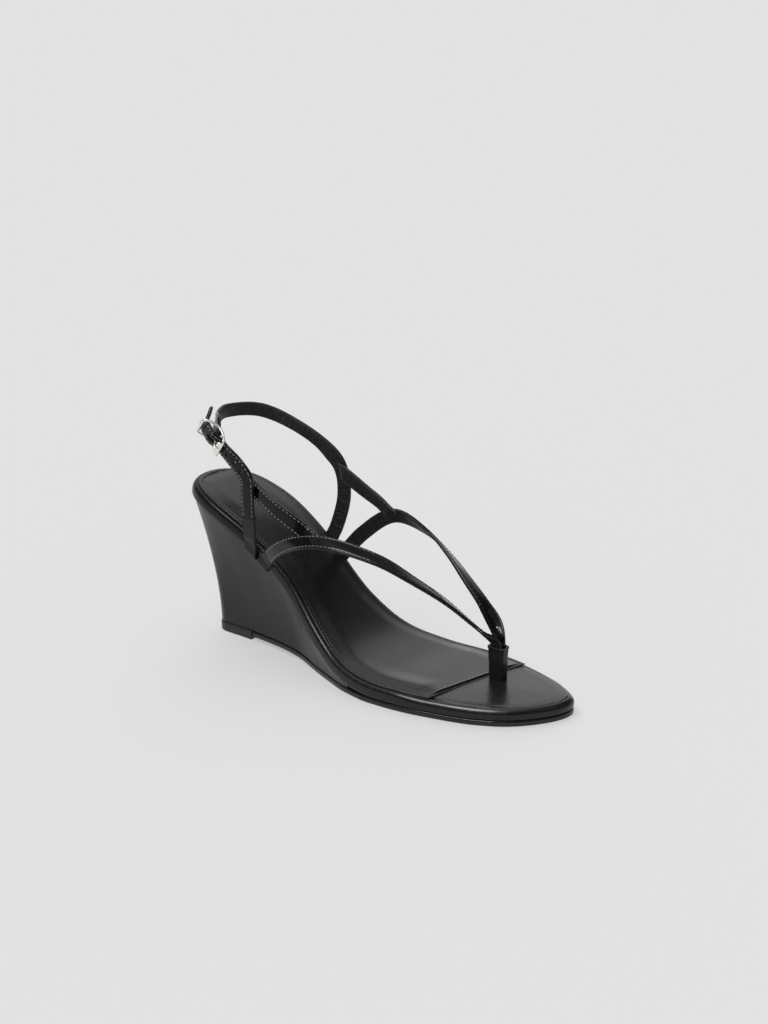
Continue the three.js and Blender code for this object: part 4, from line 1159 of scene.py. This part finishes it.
tab("outer_leg_tab", Route(LEG_LATERAL_FOOT), LATERAL, 20.2, "tab_leg_lateral")
tab("outer_front_tab", FRONT_LATERAL, LATERAL, 9.2, "tab_front_lateral")
tab("inner_leg_tab", Route(LEG_MEDIAL_FOOT), MEDIAL, 10.2, "tab_leg_medial")
tab("inner_front_tab", FRONT_MEDIAL, MEDIAL, 8.4, "tab_front_medial")


# ---- toe post ----
POST_X, POST_Y, POST_TOP, POST_FOOT = 156.0, 6.0, 26.6, 8.6
POST_HALF_X, POST_HALF_Y, POST_CORNER = 4.1, 2.85, 1.5
POST_FLARE_X, POST_FLARE_Y, POST_FLARE = 0.55, 0.3, 1.5
CRUMPLE, FINE_CRUMPLE, LIP_CALM = 0.07, 0.03, 0.35
# Rings of the wrap's rolled lip and its inside: height from the top, and how far it swells.
POST_LIP = [
    (-1.6, 0.03), (-1.35, 0.17), (-0.8, 0.21), (-0.3, 0.16), (0, -0.06), (-0.05, -0.45), (-0.5, -0.75),
    (-4, -0.8),
]


def rounded_rectangle(half_x, half_y, corner, count=56):
    """Points round a rectangle with round corners."""
    corner = min(corner, half_x - 0.05, half_y - 0.05)
    arc = np.linspace(0, math.pi / 2, 8)
    loop = []
    for k, (sx, sy) in enumerate(((1, 1), (-1, 1), (-1, -1), (1, -1))):
        a = arc + k * math.pi / 2
        x, y = sx * (half_x - corner) + corner * np.cos(a), sy * (half_y - corner) + corner * np.sin(a)
        loop.extend(np.stack([x, y], -1))
    loop = np.array(loop + [loop[0]])
    return even(loop, count + 1)[:-1]


def post_wrap():
    heights = np.linspace(POST_FOOT, POST_TOP - 1.9, 26)
    outside = [(z, 0.0) for z in heights]
    rings = []
    for z, swell in outside + [(POST_TOP + down, swell) for down, swell in POST_LIP]:
        flare = ((z - POST_FOOT) / (POST_TOP - POST_FOOT)) ** POST_FLARE
        half_x = POST_HALF_X + POST_FLARE_X * flare + swell
        half_y = POST_HALF_Y + POST_FLARE_Y * flare + swell
        loop = rounded_rectangle(half_x, half_y, POST_CORNER)
        angle = np.arctan2(loop[:, 1], loop[:, 0])
        crumple = CRUMPLE * np.sin(2 * angle + 0.35 * z + 0.6) * np.sin(0.5 * z - angle)
        crumple = crumple + FINE_CRUMPLE * np.sin(5 * angle - 0.8 * z)
        calm = 1.0 if swell == 0 else LIP_CALM
        loop = loop * (1 + calm * crumple[:, None] / np.linalg.norm(loop, axis=1)[:, None])
        rings.append(np.stack([POST_X + loop[:, 0], POST_Y + loop[:, 1], np.full(len(loop), z)], -1))
    rings = np.array(rings)
    total, count = rings.shape[:2]
    return rings.reshape(-1, 3), ring_faces(total, count) + end_caps(total, count)


POST_LEATHER = smooth_leather(
    "post_leather", (0.010, 0.010, 0.0112), (0.0155, 0.0155, 0.0170), 0.3, (0.00002, 0.00012, 0.0006), 1.4,
)
piece(
    "toe_post_leather", *post_wrap(), POST_LEATHER, "sole", "tab_leather", ["toe_post_wrap"],
    sharp_degrees=60,
)


# ---- buckle ----
FRAME_HALF_LENGTH, FRAME_HALF_WIDTH, FRAME_WIRE, FRAME_PLATE = 8.0, 5.4, 1.3, 3.0
PIN_END_RISE, FAR_END_RISE = 3.6, 4.9
PLATE_THINNING, PLATE_TILT = 0.3, 0.35
BAR_RADIUS, PRONG_RADIUS, PRONG_SLOT = 0.7, 0.55, 0.75
LOOP_SLOT, LOOP_SLOT_REACH, LOOP_EDGE = 1.1, 2.2, 0.2


def bow(u):
    """How far the frame's ends rise from the bar."""
    return np.where(u < 0, PIN_END_RISE, FAR_END_RISE) * (u / FRAME_HALF_LENGTH) ** 2


def buckle_frame():
    loop = rounded_rectangle(FRAME_HALF_LENGTH, FRAME_HALF_WIDTH, 1.7, count=128)
    tangent = unit(np.roll(loop, -1, axis=0) - np.roll(loop, 1, axis=0))
    inward = np.stack([-tangent[:, 1], tangent[:, 0]], -1)
    plate = smoothstep(-loop[:, 0], FRAME_HALF_LENGTH - 1.0, FRAME_HALF_LENGTH - 0.3)
    plate = plate * smoothstep(-np.abs(loop[:, 1]), -FRAME_HALF_WIDTH + 0.4, -FRAME_HALF_WIDTH + 1.6)
    section = rounded_rectangle(0.5, 0.5, 0.3, count=16)
    vertices = []
    for p, n, wide in zip(loop, inward, plate):
        width = FRAME_WIRE + wide * (FRAME_PLATE - FRAME_WIRE)
        for a, b in section:
            flat_point = p + n * (a * width + (width - FRAME_WIRE) / 2)
            thick = FRAME_WIRE * (1 - PLATE_THINNING * wide)
            rise = float(bow(p[0])) + PLATE_TILT * (flat_point[0] - p[0]) * wide
            vertices.append(in_buckle(flat_point[0], flat_point[1], rise + b * thick))
    return vertices, ring_faces(len(loop), len(section), loop=True)


def tube(path, radius, flatten, sides=14):
    """A tube along points, with domed ends. Its radius and how flat it is change along it."""
    path = np.asarray(path, float)
    tangent = unit(np.gradient(path, axis=0))
    reference = np.broadcast_to(B_ACROSS, path.shape)
    side = unit(reference - tangent * np.sum(reference * tangent, -1, keepdims=True))
    up = np.cross(tangent, side)
    angle = np.linspace(0, 2 * math.pi, sides, endpoint=False)
    along = [(0, -1.0), (0, -0.7), *((i, 0.0) for i in range(len(path))), (-1, 0.7), (-1, 1.0)]
    vertices = []
    for i, share in along:
        centre = path[i] + tangent[i] * radius[i] * share
        girth = radius[i] * math.sqrt(max(1 - share**2, 0.02))
        round_it = np.cos(angle)[:, None] * side[i] + flatten[i] * np.sin(angle)[:, None] * up[i]
        vertices.extend(centre + girth * round_it)
    return vertices, ring_faces(len(along), sides) + end_caps(len(along), sides)


piece("buckle_wire_frame", *buckle_frame(), NICKEL, "buckle", "nickel", ["buckle_frame"])


def bar_mesh():
    y = np.linspace(-FRAME_HALF_WIDTH + 0.2, FRAME_HALF_WIDTH - 0.2, 16)
    centre = in_buckle(0, y, 0)
    angle = np.linspace(0, 2 * math.pi, 18, endpoint=False)
    ring = BAR_RADIUS * (np.cos(angle)[:, None] * B_ALONG + np.sin(angle)[:, None] * B_OUT)
    vertices = (centre[:, None] + ring[None]).reshape(-1, 3)
    return vertices, ring_faces(len(y), len(angle)) + end_caps(len(y), len(angle))


piece("buckle_bar", *bar_mesh(), NICKEL, "buckle", "nickel", sharp_degrees=60)


def prong():
    radius = BAR_RADIUS + GAP + PRONG_RADIUS
    angle = np.radians(-170 + 260 * np.arange(14) / 13)
    wrap = np.stack([radius * np.cos(angle), radius * np.sin(angle)], -1)
    top = PIN_END_RISE + FRAME_WIRE / 2 + GAP + PRONG_RADIUS
    arm = [(-1.4, radius + 0.25), (-3.4, 3.1), (-5.6, top - 0.05), (-FRAME_HALF_LENGTH - 0.2, top)]
    flat_path = np.concatenate([wrap, arm])
    line = catmull(in_buckle(flat_path[:, 0], 0, flat_path[:, 1]), per=8)
    share = lengths(line) / lengths(line)[-1]
    radius_along = PRONG_RADIUS * (1 - 0.25 * smoothstep(share, 0.8, 1.0))
    flat_along = 1 - 0.3 * smoothstep(share, 0.55, 0.95)
    return tube(line, radius_along, flat_along)


piece("buckle_pin", *prong(), NICKEL, "prong", "nickel", ["buckle_prong"])


def buckle_loop():
    """The sling's end, folded round the bar. A slot in the fold leaves room for the prong."""
    inside = BAR_RADIUS + GAP
    mid = inside + LAYER / 2
    leg = GAP / 2 + LAYER / 2
    arc = np.radians(np.linspace(48, 312, 30))
    near = [(LOOP_LENGTH, leg), (4.6, leg), (3.2, leg + 0.02), (2.1, leg + 0.2)]
    fold = [(mid * math.cos(a), mid * math.sin(a)) for a in arc]
    line = even(catmull([*near, *fold, *((x, -y) for x, y in near[::-1])], per=6), 60)
    q = columns(HALF)
    slot_edges = [LOOP_SLOT + 0.05, LOOP_SLOT]
    q = np.sort(np.concatenate([q[np.abs(q) > 1.3], slot_edges, np.negative(slot_edges), [0]]))
    tangent = unit(np.gradient(line, axis=0))
    normal2 = np.stack([-tangent[:, 1], tangent[:, 0]], -1)
    if np.sum(normal2[30] * line[30]) < 0:
        normal2 = -normal2
    across = np.cross(LOOP_ALONG, LOOP_OUT)
    place = BAR + line[:, :1] * LOOP_ALONG + line[:, 1:] * LOOP_OUT
    middle = place[:, None] + across * q[None, :, None]
    normal = np.broadcast_to((normal2[:, :1] * LOOP_ALONG + normal2[:, 1:] * LOOP_OUT)[:, None], middle.shape)
    e = HALF - np.abs(q)
    shape = LOOP_EDGE + (LAYER / 2 - LOOP_EDGE) * rounded(e, 0.3)
    upper = np.broadcast_to(shape, middle.shape[:2])
    keep = np.ones((len(line) - 1, len(q) - 1), bool)
    near_bar = np.maximum(line[:-1, 0], line[1:, 0]) < LOOP_SLOT_REACH
    slot_columns = np.abs((q[:-1] + q[1:]) / 2) < LOOP_SLOT
    keep[np.ix_(near_bar, slot_columns)] = False
    points, faces = sheet_solid(middle, normal, upper, -upper, keep)
    uv = np.stack(np.broadcast_arrays(lengths(line)[:, None], q), -1)
    uv = np.concatenate([uv.reshape(-1, 2)] * 2)
    used = sorted({i for face in faces for i in face})
    renumber = {old: new for new, old in enumerate(used)}
    return points[used], [tuple(renumber[i] for i in face) for face in faces], uv[used]


points, faces, uv = buckle_loop()
piece("sling_loop", points, faces, LINING, "sling", "lining_leather", ["buckle_loop"], uv=uv)


# ---- holes in the tail strap ----
HOLES, HOLE_PITCH, HOLE_RADIUS, FIRST_HOLE = 3, 6.0, 0.9, 12.5
SLOT_CENTRE, SLOT_LENGTH = -1.7, 6.6


def cutter(name, centre, axis, along, length, radius, reach):
    """A stadium-shaped punch. length is the straight part between its round ends."""
    axis, along = unit(np.asarray(axis)), unit(np.asarray(along))
    side = np.cross(axis, along)
    half = np.linspace(-math.pi / 2, math.pi / 2, 12)
    ring = [(length / 2 + radius * math.cos(a), radius * math.sin(a)) for a in half]
    ring += [(-length / 2 - radius * math.cos(a), -radius * math.sin(a)) for a in half]
    flat = [np.asarray(centre) + u * along + v * side for u, v in ring]
    vertices = [point + w * axis for w in (-reach, reach) for point in flat]
    count = len(ring)
    faces = end_caps(2, count) + ring_faces(2, count)
    mesh = bpy.data.meshes.new(name)
    mesh.from_pydata([tuple(v * MM) for v in vertices], [], faces)
    mesh.update()
    made = new_object(name, mesh)
    outward(made)
    return made


def punch(obj, cutters):
    for tool in cutters:
        modifier = obj.modifiers.new("punch", "BOOLEAN")
        modifier.operation = "DIFFERENCE"
        modifier.solver = "EXACT"
        modifier.object = tool
    evaluated = obj.evaluated_get(bpy.context.evaluated_depsgraph_get())
    mesh = bpy.data.meshes.new_from_object(evaluated)
    obj.modifiers.clear()
    obj.data = mesh


bar_distance = OUTER_SLING.nearest(in_buckle(0, 0, OVER_BAR))
tools = [cutter("slot", in_buckle(SLOT_CENTRE, 0, 2.2), B_OUT, B_ALONG, SLOT_LENGTH, PRONG_SLOT, 4)]
for n in range(HOLES):
    place, along, out, _ = OUTER_SLING.at(bar_distance - FIRST_HOLE - n * HOLE_PITCH)
    tools.append(cutter(f"hole_{n + 1}", place, out, along, 0.02, HOLE_RADIUS, 3))
for part in outer_sling.parts[:2]:
    punch(part, tools)
for tool in tools:
    bpy.data.objects.remove(tool)

# ---- the sling's parts, with their placement baked into their meshes ----
BEND = 7.0                       # how far from a hinge two end points are found; they are not used


def bend_across(parts, path, hinge, reverse):
    at = path.nearest(hinge)
    before, after = path.at(np.array([at - BEND, at + BEND]))[0] * MM
    start, end = (after, before) if reverse else (before, after)
    for part in parts:
        tuple(start)
        tuple(end)
        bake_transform(part)


bend_across(outer_sling.parts, OUTER_SLING, HINGE_LATERAL, False)
bend_across(inner_sling.parts, INNER_SLING, HINGE_MEDIAL, True)

# ---- floor, light ----
FLOOR_SIZE = 30.0
floor_mesh = bpy.data.meshes.new("floor")
corner = FLOOR_SIZE / 2
corners = [(x * corner, y * corner, 0) for x, y in ((-1, -1), (1, -1), (1, 1), (-1, 1))]
floor_mesh.from_pydata(corners, [], [(0, 1, 2, 3)])
floor = new_object("floor", floor_mesh)
floor_material = bpy.data.materials.new("floor")
floor_material.use_nodes = True
floor_shader = floor_material.node_tree.nodes["Principled BSDF"]
floor_shader.inputs["Base Color"].default_value = (0.80, 0.80, 0.80, 1)
floor_shader.inputs["Roughness"].default_value = 1.0
floor_shader.inputs["Specular IOR Level"].default_value = 0.0
floor_mesh.materials.append(floor_material)

world = bpy.data.worlds.new("studio")
bpy.context.scene.world = world
world.use_nodes = True
nodes, links = world.node_tree.nodes, world.node_tree.links
background = nodes["Background"]


def fade(value, low, high, strength):
    """0 up to low, then a soft rise to strength at high."""
    made = nodes.new("ShaderNodeMapRange")
    made.interpolation_type = "SMOOTHSTEP"
    made.inputs["From Min"].default_value = low
    made.inputs["From Max"].default_value = high
    made.inputs["To Max"].default_value = strength
    links.new(value, made.inputs["Value"])
    return made.outputs["Result"]


def glow(direction, inner, outer, strength):
    """A soft bright patch of the studio: brightness by the angle from a direction, in degrees."""
    place = nodes.new("ShaderNodeTexCoord")
    dot = nodes.new("ShaderNodeVectorMath")
    dot.operation = "DOT_PRODUCT"
    dot.inputs[1].default_value = tuple(unit(np.array(direction, float)))
    links.new(place.outputs["Generated"], dot.inputs[0])
    return fade(dot.outputs["Value"], math.cos(math.radians(outer)), math.cos(math.radians(inner)), strength)


def horizon(level, fade_end, strength):
    """A band of the backdrop as bright as the floor, so that the floor's far edge doesn't show."""
    place = nodes.new("ShaderNodeTexCoord")
    split = nodes.new("ShaderNodeSeparateXYZ")
    links.new(place.outputs["Generated"], split.inputs["Vector"])
    return fade(split.outputs["Z"], math.sin(math.radians(fade_end)), math.sin(math.radians(level)), strength)


def total(values):
    result = values[0]
    for value in values[1:]:
        add = nodes.new("ShaderNodeMath")
        add.operation = "ADD"
        links.new(result, add.inputs[0])
        links.new(value, add.inputs[1])
        result = add.outputs["Value"]
    return result


SOFTBOX = (-0.15, -0.35, 0.92)
base = nodes.new("ShaderNodeValue")
base.outputs[0].default_value = 0.11
links.new(total([
    base.outputs[0],
    glow((-0.62, 0.70, 0.35), 22, 47, 0.68),
    glow(SOFTBOX, 8, 30, 0.9),
    horizon(3, 13, 0.64),
]), background.inputs["Strength"])
background.inputs["Color"].default_value = (1, 1, 1, 1)


def sun(name, direction, energy, angle, shadow):
    """Soft light from a direction. angle is how wide its source looks, in degrees."""
    data = bpy.data.lights.new(name, "SUN")
    data.energy = energy
    data.angle = math.radians(angle)
    data.use_shadow = shadow
    aim(new_object(name, data), direction, direction)


sun("overhead", SOFTBOX, 1.45, 26, shadow=False)
sun("top", (-0.25, 0.1, 0.96), 0.35, 80, shadow=True)
sun("key", (0.149, -0.5, 0.853), 0.35, 6, shadow=False)

scene = bpy.context.scene
scene.view_settings.view_transform = "Standard"
scene.view_settings.look = "None"

bpy.context.view_layer.update()
